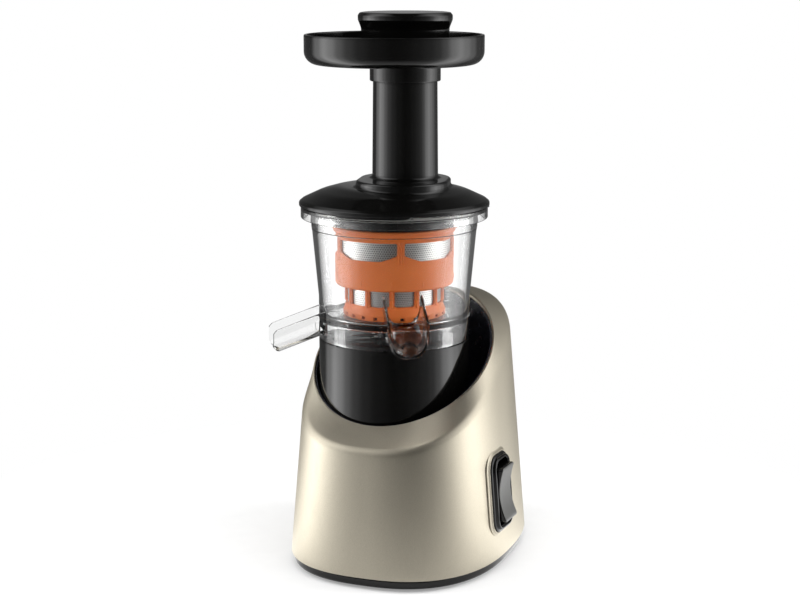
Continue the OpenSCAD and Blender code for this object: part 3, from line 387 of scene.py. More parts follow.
def metal_like(name, dark, light, rough, scale=(1, 1, 40), strength=0.1):
    """Metal with a fine directional grain."""
    m, t, bsdf = shade(name, Metallic=1.0)
    grain = noise(t, coords(t, scale), 60, 6, 0.65)
    colour = blended(t, ranged(t, grain, 0, 1), dark, light)
    surface(t, bsdf, colour, ranged(t, grain, *rough), grain, strength, 0.00003)
    return m


def champagne():
    """Satin champagne metal with very fine vertical brush marks."""
    m, t, bsdf = shade("champagne_metal", Metallic=1.0)
    v = coords(t)
    brush = noise(t, coords(t, (1, 1, 0.03)), 900, 4, 0.6)
    flake = ranged(t, noise(t, v, 2600, 2, 0.6), 0, 1, (0.35, 0.65))
    wide = noise(t, v, 9)
    rough = calc(t, "ADD", ranged(t, brush, 0.42, 0.48), ranged(t, wide, 0.0, 0.04))
    surface(t, bsdf, blended(t, flake, (0.565, 0.52, 0.418), (0.665, 0.612, 0.5)), rough, brush, 0.06, 0.00003)
    return m


def clear():
    """Clear plastic with faint flow marks, darker where it is thick."""
    m, t, bsdf = shade("clear_plastic", Transmission_Weight=1.0, IOR=1.45)
    v = coords(t)
    flow = noise(t, v, 40)
    colour = blended(t, ranged(t, flow, 0, 1), (0.985, 0.988, 0.985), (0.999775, 1.0, 0.999775))
    surface(t, bsdf, colour, ranged(t, noise(t, v, 90, 4), 0.01, 0.03), flow, 0.04, 0.0001)
    depth = node(t, "VolumeAbsorption", Color=(0.4, 0.4, 0.4, 1), Density=26.0)
    links(t, (depth.outputs[0], t.nodes["Material Output"].inputs["Volume"]))
    return m


def perforated():
    """Steel with a round hole to each unit of the drum's map, every other row shifted by half; each hole is a dark
    spot, painted shade of the drum's inside seen through it.
    """
    m, t, bsdf = shade("perforated_steel", Metallic=1.0)
    sep = node(t, "SeparateXYZ")
    links(t, (node(t, "UVMap", uv_map="drum").outputs["UV"], sep.inputs[0]))
    across, up = sep.outputs["X"], sep.outputs["Y"]
    shift = calc(t, "MULTIPLY", calc(t, "MODULO", calc(t, "FLOOR", up), 2.0), 0.5)
    fx = calc(t, "SUBTRACT", calc(t, "FRACT", calc(t, "ADD", across, shift)), 0.5)
    fy = calc(t, "SUBTRACT", calc(t, "FRACT", up), 0.5)
    hole = ranged(t, calc(t, "SQRT", dot(t, fx, fy, fx, fy)), 0, 1, (0.24, 0.34))
    grain = noise(t, coords(t, (1, 1, 8)), 260, 4)
    tint = blended(t, ranged(t, grain, 0, 1), (0.66, 0.66, 0.65), (0.76, 0.76, 0.75))
    # the dark colour in the holes is painted shade, standing in for the shaded inside seen through them
    colour = blended(t, hole, (0.2, 0.2, 0.195), tint)
    surface(t, bsdf, colour, ranged(t, grain, 0.42, 0.55), hole, 0.4, 0.0001)
    return m


# slot: name, dark, light, roughness, scale of the grain, its strength, light scattered inside
MOULDED = {
    "black_gloss": ("black_gloss_plastic", (0.0014, 0.0014, 0.0013), (0.0028, 0.0027, 0.0025), (0.08, 0.13), 700, 0.03),
    "black_matte": ("black_matte_plastic", (0.008, 0.008, 0.008), (0.014, 0.0135, 0.013), (0.35, 0.5), 1400, 0.3),
    # rocker face: a lighter grey for the faces turned out of the wall, a painted reflection on one black plastic
    "rocker_grey": ("rocker_painted_reflection_plastic", (0.06, 0.06, 0.057), (0.085, 0.085, 0.08), (0.28, 0.38), 1500, 0.2),
    "rubber": ("rubber", (0.02, 0.02, 0.02), (0.035, 0.035, 0.034), (0.65, 0.8), 600, 0.5),
    "orange": ("orange_plastic", (0.74, 0.165, 0.022), (0.82, 0.2, 0.032), (0.3, 0.4), 900, 0.06, 0.2),
    "silicone_red": ("silicone_red", (0.42, 0.12, 0.09), (0.5, 0.15, 0.11), (0.45, 0.6), 800, 0.25, 0.15),
    "silicone_white": ("silicone_white", (0.6, 0.6, 0.57), (0.7, 0.7, 0.66), (0.45, 0.6), 800, 0.25),
    "auger_dark": ("auger_plastic", (0.035, 0.032, 0.029), (0.05, 0.046, 0.042), (0.25, 0.38), 700, 0.15),
    "gear": ("gear_plastic", (0.55, 0.5, 0.38), (0.65, 0.6, 0.47), (0.35, 0.5), 900, 0.2),
    "board": ("board_green", (0.015, 0.09, 0.03), (0.02, 0.12, 0.04), (0.3, 0.45), 900, 0.2),
}
FINISH = {slot: moulded(*row) for slot, row in MOULDED.items()}
FINISH.update(
    steel=metal_like("steel", (0.5, 0.5, 0.51), (0.68, 0.68, 0.69), (0.22, 0.36)),
    cast_alloy=metal_like("cast_alloy", (0.42, 0.42, 0.43), (0.55, 0.55, 0.56), (0.45, 0.6), (30, 30, 30), 0.5),
    copper=metal_like("copper_wire", (0.5, 0.2, 0.09), (0.75, 0.35, 0.18), (0.3, 0.45), (1, 1, 90), 0.6),
    metal=champagne(),
    clear=clear(),
)
SATIN = moulded("black_satin_plastic", (0.002, 0.002, 0.0019), (0.0038, 0.0037, 0.0034), (0.14, 0.2), 900, 0.06)
TUB_BLACK = moulded("tub_black_plastic", (0.011, 0.011, 0.015), (0.018, 0.018, 0.024), (0.2, 0.3), 900, 0.06)
PERFORATED = perforated()


# ---- housing
def plan_pt(t, d):
    """Point d inside the plan outline, a superellipse longer to the rear."""
    c, s = cos(t), sin(t)
    reach = (BODY_FRONT if s < 0 else BODY_REAR) - d
    return (BODY_X + (BODY_HALF_W - d) * copysign(abs(c) ** (2 / BODY_N), c),
            BODY_Y + reach * copysign(abs(s) ** (2 / BODY_N), s))


def side_in(z):
    """How far the drafted wall has moved in at a height."""
    return (z - EDGE_Z) * tan(radians(DRAFT))


def on_wall(t, z, d=0.0):
    return np.array((*plan_pt(t, side_in(z) + d), z))


def crease_pt(t, d=0.0):
    """Point of the crease, which rises to the rear."""
    z = CREASE_Z
    for _ in range(8):
        z = CREASE_Z + CREASE_RISE * plan_pt(t, side_in(z) + d)[1]
    return on_wall(t, z, d)


def rim_pt(a, r, drop=0.0):
    """Point on the tilted rim's plane or under it."""
    x, y = RIM_X + r * cos(a), RIM_Y + r * sin(a)
    return np.array((x, y, RIM_Z + tan(radians(RIM_TILT)) * y - drop))


def plan_angles(n):
    """Angles spaced evenly along the plan outline."""
    t = np.linspace(0, 2 * pi, 4001)
    p = np.array([plan_pt(a, 0) for a in t])
    s = np.concatenate([[0], np.cumsum(norm(np.diff(p, axis=0), axis=1))])
    return np.interp(np.arange(n) * s[-1] / n, s, t)


def fillet_line(points, seg):
    """A polyline of (point, setback) with its inner corners rounded by quadratic arcs."""
    out = []
    for i, (p, d) in enumerate(points):
        if d <= 0:
            out.append(p)
            continue
        a, b = points[i - 1][0] - p, points[i + 1][0] - p
        la, lb = norm(a), norm(b)
        p0, p2 = p + a / la * min(d, la * 0.45), p + b / lb * min(d, lb * 0.45)
        for k in range(seg + 1):
            s = k / seg
            out.append((1 - s) ** 2 * p0 + 2 * s * (1 - s) * p + s * s * p2)
    return out


def at_gland(mesh):
    """A mesh about the z axis carried to the cord's inlet, its axis to the rear."""
    rear = BODY_Y + BODY_REAR - side_in(GLAND_Z)
    return [(BODY_X + x, rear + z, GLAND_Z + y) for x, y, z in mesh[0]], mesh[1]


def housing():
    columns = []
    for t in plan_angles(PLAN_N * 2):
        crease, inside = crease_pt(t), crease_pt(t, SHELL_T)
        inside[2] -= 1.5
        a = atan2(crease[1] - RIM_Y, crease[0] - RIM_X)
        line = [
            (rim_pt(a, RIM_R, RIM_DEEP), 0), (rim_pt(a, RIM_R), 0.7), (rim_pt(a, RIM_R + RIM_FLAT), 0.9),
            (crease, 5.0), (on_wall(t, EDGE_Z), 0.7), (on_wall(t, EDGE_Z, SHELL_T), 0.5), (inside, 4.0),
            (rim_pt(a, RIM_R + RIM_FLAT, RIM_DEEP), 0.4), (rim_pt(a, RIM_R, RIM_DEEP), 0),
        ]
        columns.append(fillet_line(line, 8)[:-1])
    # extra rows between crease and edge, so the boolean and the shading stay even
    rows, dense = list(zip(*columns)), []
    for row, after in zip(rows, rows[1:] + rows[:1]):
        gap = max(norm(p - q) for p, q in zip(row, after))
        steps = int(gap // 12) + 1
        dense.append(row)
        dense += [[p * (1 - s / steps) + q * (s / steps) for p, q in zip(row, after)] for s in range(1, steps)]
    ob = raw("housing_shell", skin(dense, loop_rows=True))
    hole = outlines((BEZEL_W - BARREL_IN, BEZEL_H - BARREL_IN), 4.8, ((0, -20), (0, 20)))
    cut(ob, switch_mesh(hole, caps=BOTH))
    cut(ob, at_gland(cylinder(GLAND_HOLE, -20, 20, 48)))
    piece(ob, "metal", "base", "housing", 30)


# ---- switch
WALL_A, WALL_B = BODY_HALF_W - side_in(SWITCH_Z), BODY_FRONT - side_in(SWITCH_Z)
WALL_U = (SWITCH_Y / WALL_B) ** BODY_N
WALL_X = BODY_X + WALL_A * (1 - WALL_U) ** (1 / BODY_N)
WALL_TURN = atan(WALL_A / WALL_B * (WALL_U / (1 - WALL_U)) ** ((BODY_N - 1) / BODY_N))


def round_rect(w, h, r, n=10, split=8):
    """Rounded rectangle in (y, z), numbered alike at every size, its straight sides split."""
    r = min(r, w / 2 - 1e-3, h / 2 - 1e-3)
    out = []
    for cy, cz, a0 in ((1, 1, 0), (-1, 1, 90), (-1, -1, 180), (1, -1, 270)):
        for k in range(n + 1):
            a = radians(a0 + 90 * k / n)
            out.append((cy * (w / 2 - r) + r * cos(a), cz * (h / 2 - r) + r * sin(a)))
    full = []
    for i, p in enumerate(out):
        q = out[(i + 1) % len(out)]
        full.append(p)
        if (i + 1) % (n + 1) == 0:
            full += [(p[0] + (q[0] - p[0]) * s / split, p[1] + (q[1] - p[1]) * s / split) for s in range(1, split)]
    return full


def outlines(size, r, table):
    """Rings of a rounded rectangle: for each (d, x), grown by d and x out of the wall."""
    return [[(x, y, z) for y, z in round_rect(size[0] + 2 * d, size[1] + 2 * d, r + d)] for d, x in table]


def switch_mesh(rows, **ends):
    """Mesh over rows in the switch's own frame: x out of the wall, y along it, z up it."""
    c, s = cos(radians(DRAFT)), sin(radians(DRAFT))
    ct, st = cos(WALL_TURN), sin(WALL_TURN)
    verts, faces = skin(rows, **ends)
    out = []
    for x, y, z in verts:
        away = x * c - z * s
        out.append((WALL_X + away * ct + y * st, BODY_Y - SWITCH_Y - away * st + y * ct, SWITCH_Z + x * s + z * c))
    return out, faces


def switch():
    # bezel: sunk foot, step, rounded crown, inner well
    rows = outlines((BEZEL_W - 6.6, BEZEL_H - 6.6), 4.5, ((0, -9), (0, -0.9)))
    rows += outlines((BEZEL_W, BEZEL_H), BEZEL_ROUND, (
        (0, -0.9), (0, 1.9), (-0.1, 2.2), (-0.5, 2.5), (-1.5, 2.6), (-1.8, 2.9), (-1.9, 4.0), (-2.2, 4.7), (-2.8, 5.1),
        (-3.6, 5.2)))
    rows += outlines((ROCKER_W + 1, ROCKER_H + 3), 3, ((1.2, 4.6), (0.6, 4.3), (0.15, 3.8), (0, 3.0), (0, -9)))
    piece(raw("switch_frame", switch_mesh(rows, loop_rows=True)), "black_gloss", "base", "switch_bezel")
    # thin metal lip that the housing turns up around the bezel
    rows = outlines((BEZEL_W, BEZEL_H), BEZEL_ROUND, (
        (0.25, -1.0), (0.25, 1.0), (0.45, 1.3), (0.8, 1.4), (1.2, 1.3), (1.5, 0.9), (1.8, 0.45), (2.6, 0.15),
        (3.4, -0.3), (3.4, -1.0)))
    piece(raw("switch_lip", switch_mesh(rows, loop_rows=True)), "metal", "base")


def rocker_face(z):
    """The rocker's face over the wall: a shallow hollow between raised ends."""
    s = min(1.0, abs(z) / 20.0)
    return 5.6 + 4.1 * s * s * (1.25 - 0.25 * s)


def rocker():
    def outline(d):
        return round_rect(ROCKER_W - 0.3 - 2 * d, ROCKER_H - 4.0 - 2 * d, max(2.6 - d, 0.4))

    # the foot narrows, so the rocker swings inside the frame
    foot = ((-7.6, 0.24), (-4.5, 0.42), (-2.0, 0.75), (0.8, 0.985), (2.5, 1.0), (4.0, 1.0))
    edge = ((0.0, 1.2), (0.1, 0.75), (0.35, 0.35), (0.8, 0.08)) + tuple((d, 0.0) for d in (1.4, 3.0, 5.5, 8.5, 11.5))
    rows = [[(x, y, z * k) for y, z in outline(0.0)] for x, k in foot]
    rows += [[(rocker_face(z) - drop, y, z) for y, z in outline(d)] for d, drop in edge]
    # the innermost ring closes on the face's middle line
    rows.append([(x, 0.0, z) for x, y, z in rows[-1]])
    # faces turned out of the wall get the lighter grey, a painted reflection; the rocker's sides stay black
    piece(raw("rocker_key", switch_mesh(rows, caps=(True, False))), "rocker_grey", "rocker", "switch_rocker", 35,
          (FINISH["black_gloss"], FINISH["rocker_grey"]), lambda normal: normal[0] > 0.55)


# ---- recess, tower, base plate, feet
def leg_places():
    for a in LEG_ANGLES:
        yield RIM_X + LEG_AT * cos(radians(a)), RIM_Y + LEG_AT * sin(radians(a))


def recess():
    n, low, inner, bend = 192, FLOOR_Z - FLOOR_T, TUB_R - TUB_T, FLOOR_Z + TUB_ROUND
    edge = ((0.0, 0.8), (0.1, 0.4), (0.35, 0.12), (0.8, 0.0))

    def level(r, z):
        return ring(r, z, n, (RIM_X, RIM_Y))

    def top(r, drop):
        return [rim_pt(a, r, TUB_DROP + drop) for a in circle(n)]

    rows = [ring(TUB_HOLE, FLOOR_Z, n)]
    rows += [level(inner - TUB_ROUND + TUB_ROUND * sin(t), bend - TUB_ROUND * cos(t)) for t in quarter(5)]
    for f in (k / 6 for k in range(1, 6)):
        rows.append([(x, y, bend * (1 - f) + z * f) for x, y, z in top(inner, edge[0][1])])
    rows += [top(inner + d, drop) for d, drop in edge] + [top(TUB_R - d, drop) for d, drop in edge[-2::-1]]
    rows += [level(TUB_R, low + 0.5), level(TUB_R - 0.5, low), ring(TUB_HOLE, low, n)]
    leg = rounded([(2, EDGE_Z, 0.3), (5.5, EDGE_Z, 0.5), (5.5, low + 0.4, 0), (2, low + 0.4, 0)])
    legs = [lathe(leg, 32, place) for place in leg_places()]
    ob = raw("recess_tub", join(skin(rows, loop_rows=True), *legs))
    piece(ob, "black_gloss", "base", "chassis recess_wall", 35, (TUB_BLACK,))


def tower():
    inner = TOWER_R - TOWER_T
    prof = rounded([
        (TOWER_R, FLOOR_Z, 0.4), (TOWER_R, TOWER_TOP, 0.7), (56.7, TOWER_TOP, 0.3), (56.7, TOWER_CROWN, 0.8),
        (12.0, TOWER_CROWN, 0.4), (12.0, 176.1, 0.2), (inner, 176.1, 0.5), (inner, FLOOR_Z, 0.3)])
    piece(raw("tower_drum", lathe(densified(prof, 12), 192)), "black_gloss", "base", "drive_tower")


def base():
    top, middle = EDGE_Z - 0.2, 38
    profile = [(d, PLATE_Z + h) for d, h in ((middle, 0), (3.2, 0), (1.9, 0.25), (0.9, 0.9), (0.25, 1.9), (0, 3.2))]
    profile += [(d, top - h) for d, h in ((0, 0.8), (0.25, 0.2), (0.8, 0), (middle, 0))]
    angles = plan_angles(PLAN_N)
    rows = [[(*plan_pt(t, PLATE_INSET + d), z) for t in angles] for d, z in profile]
    ob = raw("base_pan", skin([[(BODY_X, BODY_Y, PLATE_Z)]] + rows + [[(BODY_X, BODY_Y, top)]]))
    for y in range(-30, 31, 12):
        cut(ob, box_mesh(-24, y - 2.5, PLATE_Z - 1, 24, y + 2.5, 20))
    for place in FEET:
        cut(ob, cylinder(FOOT_R + 0.1, 1, FOOT_H, 48, place))
    for place in leg_places():
        cut(ob, lathe([(0, 1), (4.0, 1), (4.0, 5), (2.2, 5), (2.2, 20), (0, 20)], 32, place))
    piece(ob, "black_matte", "base", "base_plate", 35, (SATIN,))
    pad = rounded([(0, 0, 0), (FOOT_R, 0, 0.9), (FOOT_R, FOOT_H, 0.2), (0, FOOT_H, 0)])
    pads = [lathe(pad, 48, place) for place in FEET]
    piece(raw("foot_pads", join(*pads)), "rubber", "base", "feet")


def gland():
    prof = rounded([
        (3.5, -12.8, 0.4), (6.0, -12.8, 0.6), (6.0, -6, 0), (9.5, -6, 0.4), (9.5, -3.2, 0.3), (7, -3.2, 0),
        (7, 1.0, 0), (9.5, 1.0, 0.4), (9.5, 3.2, 1.2), (3.5, 3.2, 0.8)])
    piece(raw("cord_bush", at_gland(lathe(prof, 48))), "rubber", "base", "cord_gland")


# ---- bowl
# direction and starting height of each spout
JUICE_AT, PULP_AT = (JUICE_DIR, BOWL_Z - 1), (PULP_DIR, CHANNEL_Z - 0.4)


def spout_point(where, x, y, z):
    """From a spout's own frame (x along its run, z up across it) to the juicer's."""
    f, a = radians(SPOUT_FALL), radians(where[0])
    x, z = x * cos(f) + z * sin(f) + TOWER_R, z * cos(f) - x * sin(f) + where[1]
    return x * cos(a) - y * sin(a), x * sin(a) + y * cos(a), z


def spout_prism(where, loop, xs):
    """Prism of a (y, z) loop along a spout's run."""
    return skin([[spout_point(where, x, y, z) for y, z in loop] for x in xs], caps=BOTH)


def trough_loop(width, depth, t, n=28):
    """Outline of a U trough in (y, z), its rims rounded."""
    r, rim = width / 2 - t / 2, depth - t / 2
    mid = [((-r, z), (-1.0, 0.0)) for z in np.linspace(rim, width / 2, 4)[:-1]]
    for k in range(n + 1):
        a = pi + pi * k / n
        mid.append(((r * cos(a), width / 2 + r * sin(a)), (cos(a), sin(a))))
    mid += [((r, z), (1.0, 0.0)) for z in np.linspace(width / 2, rim, 4)[1:]]

    def side(s):
        return [(p[0] + s * q[0] * t / 2, p[1] + s * q[1] * t / 2) for p, q in mid]

    def cap(y):
        return [(y + t / 2 * cos(a), rim + t / 2 * sin(a)) for a in np.linspace(0, pi, 7)[1:-1]]

    return side(1) + cap(r) + side(-1)[::-1] + cap(-r)


def spout(where, width, depth, nose, reach):
    """Trough trimmed to the nose, an (x, z) outline, and to its reach from the axis."""
    ob = raw("spout", spout_prism(where, trough_loop(width, depth, SPOUT_T), np.linspace(-10, 52, 32)))
    side = [[spout_point(where, x, y, z) for x, z in nose] for y in (-width, width)]
    keep(ob, skin(side, caps=BOTH))
    keep(ob, cylinder(reach, 140, 270, 256))
    bevelled(ob, 0.5)
    # a little of it stays in the wall, so the two join
    inside = [(0, 150), (TOWER_R - 0.8, 150), (TOWER_R - 0.8, FLARE_Z), (BOWL_TOP_R - 1.6, 265), (0, 265)]
    return cut(ob, lathe(inside))


def pulp_bar(x0, x1, half, z0, z1):
    """Box along the pulp spout's direction."""
    return turned(box_mesh(x0, -half, z0, x1, half, z1), PULP_DIR)


def juice_nose():
    end = (JUICE_REACH - TOWER_R) / cos(radians(SPOUT_FALL))
    tip = end - JUICE_DEPTH * tan(radians(SPOUT_FALL))
    top = JUICE_DEPTH + 0.5
    return rounded([(-20, -2, 0), (end + 0.2, -2, 3.0), (tip, top, 5.0), (tip - 14, top, 0), (-20, top, 0)], 8)


def pulp_nose():
    end = (PULP_REACH - TOWER_R) / cos(radians(SPOUT_FALL)) - 3.2
    mid, tall, low, high = 10, 10.6, 8.0, 12.5
    nose = [(-20, -2), (end - low, -2)]
    nose += [(end - low + low * sin(a), mid - tall * cos(a)) for a in np.linspace(0.05, pi / 2, 10)]
    nose += [(end - high + high * cos(a), mid + tall * sin(a)) for a in np.linspace(0.12, pi / 2, 12)]
    return nose + [(-20, PULP_DEPTH + 0.6)]


def bowl():
    flange_in, rim_low = FLANGE_R - FLANGE_T, BOWL_TOP_Z - RIM_T
    prof = rounded([
        (SEAT_IN, SEAT_Z, 0.4), (TOWER_R, SEAT_Z, 0.7), (TOWER_R, FLARE_Z, 24), (BOWL_TOP_R - 0.7, FLANGE_Z - 11, 12),
        (BOWL_TOP_R, FLANGE_Z - 7, 5), (BOWL_TOP_R, rim_low, 1.6), (flange_in, rim_low, 0.8),
        (flange_in, FLANGE_Z, 0.6), (FLANGE_R, FLANGE_Z, 0.8), (FLANGE_R, BOWL_TOP_Z, 1.2),
        (BOWL_IN_TOP, BOWL_TOP_Z, 0.8), (BOWL_IN_TOP, LEDGE_Z, 0.5), (LEDGE_IN, LEDGE_Z, 0.6),
        (LEDGE_IN - 0.4, LEDGE_Z - 3, 6), (SEAT_IN, FLARE_Z, 24), (SEAT_IN, BOWL_Z, 5.0),
        (HUB_OUT, BOWL_Z, 1.6), (HUB_OUT, HUB_Z, 0.6), (HUB_IN, HUB_Z, 0.4), (HUB_IN, HUB_LOW, 0.3),
        (HUB_OUT, HUB_LOW, 0.3), (HUB_OUT, UNDER_Z, 1.0), (SEAT_IN, UNDER_Z, 1.2)], 6)
    ob = raw("bowl_clear", lathe(densified(prof, 9), 160))
    add(ob, spout(JUICE_AT, JUICE_W, JUICE_DEPTH, juice_nose(), JUICE_REACH))
    add(ob, spout(PULP_AT, PULP_W, PULP_DEPTH, pulp_nose(), PULP_REACH))
    # pulp channel under the floor, open to the port above and the spout outside
    channel = raw("channel", pulp_bar(HUB_OUT - 1.0, TOWER_R, PULP_W / 2, CHANNEL_Z, UNDER_Z + 0.5))
    keep(channel, cylinder(SEAT_IN + 0.5, 150, 250))
    cut(channel, cylinder(HUB_OUT - 0.5, 150, 250, 64))
    add(ob, channel)
    cut(ob, pulp_bar(PORT_R0, TOWER_R + 2, PORT_HALF, CHANNEL_Z + 1.6, UNDER_Z))
    port = raw("port", pulp_bar(PORT_R0 - 2, TOWER_R, PORT_HALF, UNDER_Z - 1, BOWL_Z + 1))
    keep(port, tube(PORT_R0, PORT_R1, 150, 250))
    cut(ob, port)
    # juice outlet through the wall
    height = JUICE_DEPTH - 3
    fill = [(y, z + SPOUT_T) for y, z in trough_loop(JUICE_W - 2 * SPOUT_T, height, 0.02, 20)[:27]]
    outlet = raw("outlet", spout_prism(JUICE_AT, fill, (-14, 6)))
    keep(outlet, box_mesh(-90, -90, BOWL_Z, 90, 90, BOWL_Z + height))
    cut(ob, outlet)
    # stop tabs under the rim
    rows = [[(FLANGE_R - 1 + x, y, z) for x, y in ((0, -s), (2.1 - e, -s), (2.1 - e, s), (0, s))]
            for z, s, e in ((280.5, 0.6, 0.5), (281.0, 1.0, 0), (284.4, 1.0, 0), (284.9, 0.6, 0.5))]
    for i in range(3):
        add(ob, turned(skin(rows, caps=BOTH), LUG_PHASE + LUG_A / 2 + 1.5 + i * 120))
    piece(ob, "clear", "bowl", "bowl bowl_seat bowl_rim bowl_floor bowl_hub juice_spout pulp_spout", 30)


# ---- strainer
def arc_window(outline, r0, r1, turn):
    """Cutter whose outline is (degrees, height), reaching from r0 to r1."""
    return skin([[(r * cos(radians(a + turn)), r * sin(radians(a + turn)), z) for a, z in outline]
                 for r in (r0, r1)], caps=BOTH)


def window_outline(r, half_deg, z1, high, line):
    """Window in (degrees, height); its lower line has (side, millimetres inward, height, radius)."""
    k = degrees(1 / r)
    w = half_deg / k
    flat = rounded([(x * w + off, z, corner) for x, off, z, corner in line] + [(w, z1, high), (-w, z1, high)], 8)
    return [(x * k, z) for x, z in densified(flat, 2.5)]


def ridge(r, angle, z0, z1, w):
    """Half-round upright rib with rounded ends."""
    ends = ((z0, 0.15), (z0 + 0.25, 0.7), (z0 + 0.7, 1.0), ((z0 + z1) / 2, 1.0), (z1 - 0.7, 1.0), (z1 - 0.25, 0.7),
            (z1, 0.15))
    return turned(skin([ring(w * k, z, 12, (r, 0.0)) for z, k in ends], caps=BOTH), angle)


def strainer():
    foot, collar, flange = STR_LOW + STR_FOOT_W, STR_R + STR_COLLAR_W, STR_R + STR_FLANGE_W
    prof = rounded([
        (DRUM_LOW, BOWL_Z + 0.2, 0.3), (foot, BOWL_Z + 0.2, 0.6), (foot, BOWL_Z + 5.0, 3),
        (STR_LOW, LOW_Z, 3), (STR_LOW, BAND_Z0, 0.8), (STR_R - 1, BAND_Z0, 0.4), (STR_R, BAND_Z0 + 1.5, 1.2),
        (STR_R, WIN_Z1 + 1.5, 1.5), (collar, WIN_Z1 + 3.0, 1.2), (collar, LEDGE_Z, 1.6), (flange, LEDGE_Z, 0.6),
        (flange, STR_TOP, 0.9), (DRUM_R, STR_TOP, 0.6), (DRUM_R, BAND_Z0 + 2, 0.2), (DRUM_LOW, BAND_Z0 + 2, 0.2)], 4)
    ob = raw("strainer_basket", lathe(densified(prof, 4), 192))
    # five upper windows with sloped lower corners, twelve plain lower ones
    sloped = ((-1, 0, BAND_Z1 + 4.5, 2.5), (-1, 13, BAND_Z1, 8), (1, -13, BAND_Z1, 8), (1, 0, BAND_Z1 + 4.5, 2.5))
    upper = window_outline(STR_R, 32.5, WIN_Z1, 1.6, sloped)
    for i in range(5):
        cut(ob, arc_window(upper, STR_R - 6, STR_R + 13, JUICE_DIR + i * 72 + 36))
    plain = ((-1, 0, LOW_Z + 1.5, 1.8), (1, 0, LOW_Z + 1.5, 1.8))
    lower = window_outline(STR_LOW, 12, BAND_Z0 - 1, 1.4, plain)
    ribs = [JUICE_DIR - 9 + i * 30 for i in range(12)]
    cut(ob, join(*[arc_window(lower, STR_LOW - 6, STR_LOW + 4, rib + 15) for rib in ribs]))
    notch = box_mesh(DRUM_LOW - 2, -1.5, BOWL_Z + 1.2, DRUM_LOW + 6, 1.5, BOWL_Z + 3.8)
    cut(ob, join(*[turned(notch, i * 15) for i in range(24)]))
    # ridges on the posts, on the ribs between the lower windows, and short ones above those
    ridges = [ridge(STR_R - 0.25, JUICE_DIR + i * 72 + off, BAND_Z1 - 3, WIN_Z1 + 1.2, 0.75)
              for i in range(5) for off in (-2.2, 0, 2.2)]
    ridges += [ridge(STR_LOW - 0.2, rib, LOW_Z + 0.5, BAND_Z0 - 0.3, 1.1) for rib in ribs]
    ridges += [ridge(STR_R - 0.35, rib, BAND_Z0 + 3, BAND_Z0 + 8, 0.7) for rib in ribs]
    add(ob, join(*ridges))
    piece(ob, "orange", "bowl", "strainer_frame strainer_flange strainer_foot", 35)
    drum("drum_mesh_upper", "strainer_drum_upper", DRUM_R - 0.02, BAND_Z0 + 2.1, STR_TOP - 1)
    drum("drum_mesh_lower", "strainer_drum_lower", DRUM_LOW - 0.02, BOWL_Z + 4.5, BAND_Z0 + 1.5)


def drum(name, node_name, r, z0, z1, pitch=1.9):
    """Thin perforated wall, mapped with one unit per hole."""
    zs = np.linspace(z0, z1, max(2, int((z1 - z0) // 3)) + 1)
    ob = raw(name, lathe([(r, z) for z in zs] + [(r - DRUM_T, z) for z in zs[::-1]], 144))
    me = ob.data
    uv = me.uv_layers.new(name="drum")
    holes = round(2 * pi * r / pitch)

    def bearing(co):
        return atan2(co[1] * 1000 + ORIGIN[1], co[0] * 1000 + ORIGIN[0])

    for poly in me.polygons:
        centre = bearing(poly.center)
        for li in poly.loop_indices:
            co = me.vertices[me.loops[li].vertex_index].co
            a = bearing(co)
            a += 2 * pi * round((centre - a) / (2 * pi))
            uv.data[li].uv = (a / (2 * pi) * holes, co[2] * 1000 / (pitch * 0.87))
    piece(ob, "steel", "bowl", node_name, 35, (PERFORATED,))


def small_bowl_pieces():
    outer = HUB_IN - 0.05
    bush = rounded([(HUB_R, HUB_LOW, 0.3), (outer, HUB_LOW, 0.3), (outer, HUB_Z, 0.4), (HUB_R, HUB_Z, 0.4)])
    piece(raw("hub_bush", lathe(densified(bush, 4), 64)), "silicone_red", "bowl", "bowl_bush")
    # lining of the pulp port, open outward below the floor
    top, low = BOWL_Z - 0.5, UNDER_Z - 6.9

    def room(d, z0, z1):
        ob = raw("room", pulp_bar(PORT_R0 - 2 + d, TOWER_R, PORT_HALF - d, z0, z1))
        return keep(ob, tube(PORT_R0 + d, PORT_R1 - d, z0 - 1, z1 + 1))

    ob = room(0.1, low, top)
    cut(ob, room(PLUG_T, low - 1, top + 1))
    cut(ob, pulp_bar(PORT_R0 + 4, TOWER_R, PORT_HALF - PLUG_T, low - 1, UNDER_Z - 1))
    piece(bevelled(ob, 0.3), "silicone_red", "bowl", "pulp_plug")


# ---- auger
def auger_radii(z):
    """Radii of core and screw at a height."""
    low_r, up_r = DRUM_LOW - DRUM_T - AUGER_GAP, DRUM_R - DRUM_T - AUGER_GAP
    if z < BAND_Z0:
        core = low_r - 7 - 2 * (z - AUGER_Z) / (BAND_Z0 - AUGER_Z)
    else:
        core = low_r - 9 + (CORE_TOP_R - low_r + 9) * (z - BAND_Z0) / (AUGER_TOP - BAND_Z0)
    if z < BAND_Z0 + 3.5:
        return core, low_r
    if z < WIN_Z1:
        return core, up_r
    return core, up_r + (CORE_TOP_R + 7 - up_r) * (z - WIN_Z1) / (AUGER_TOP - WIN_Z1)


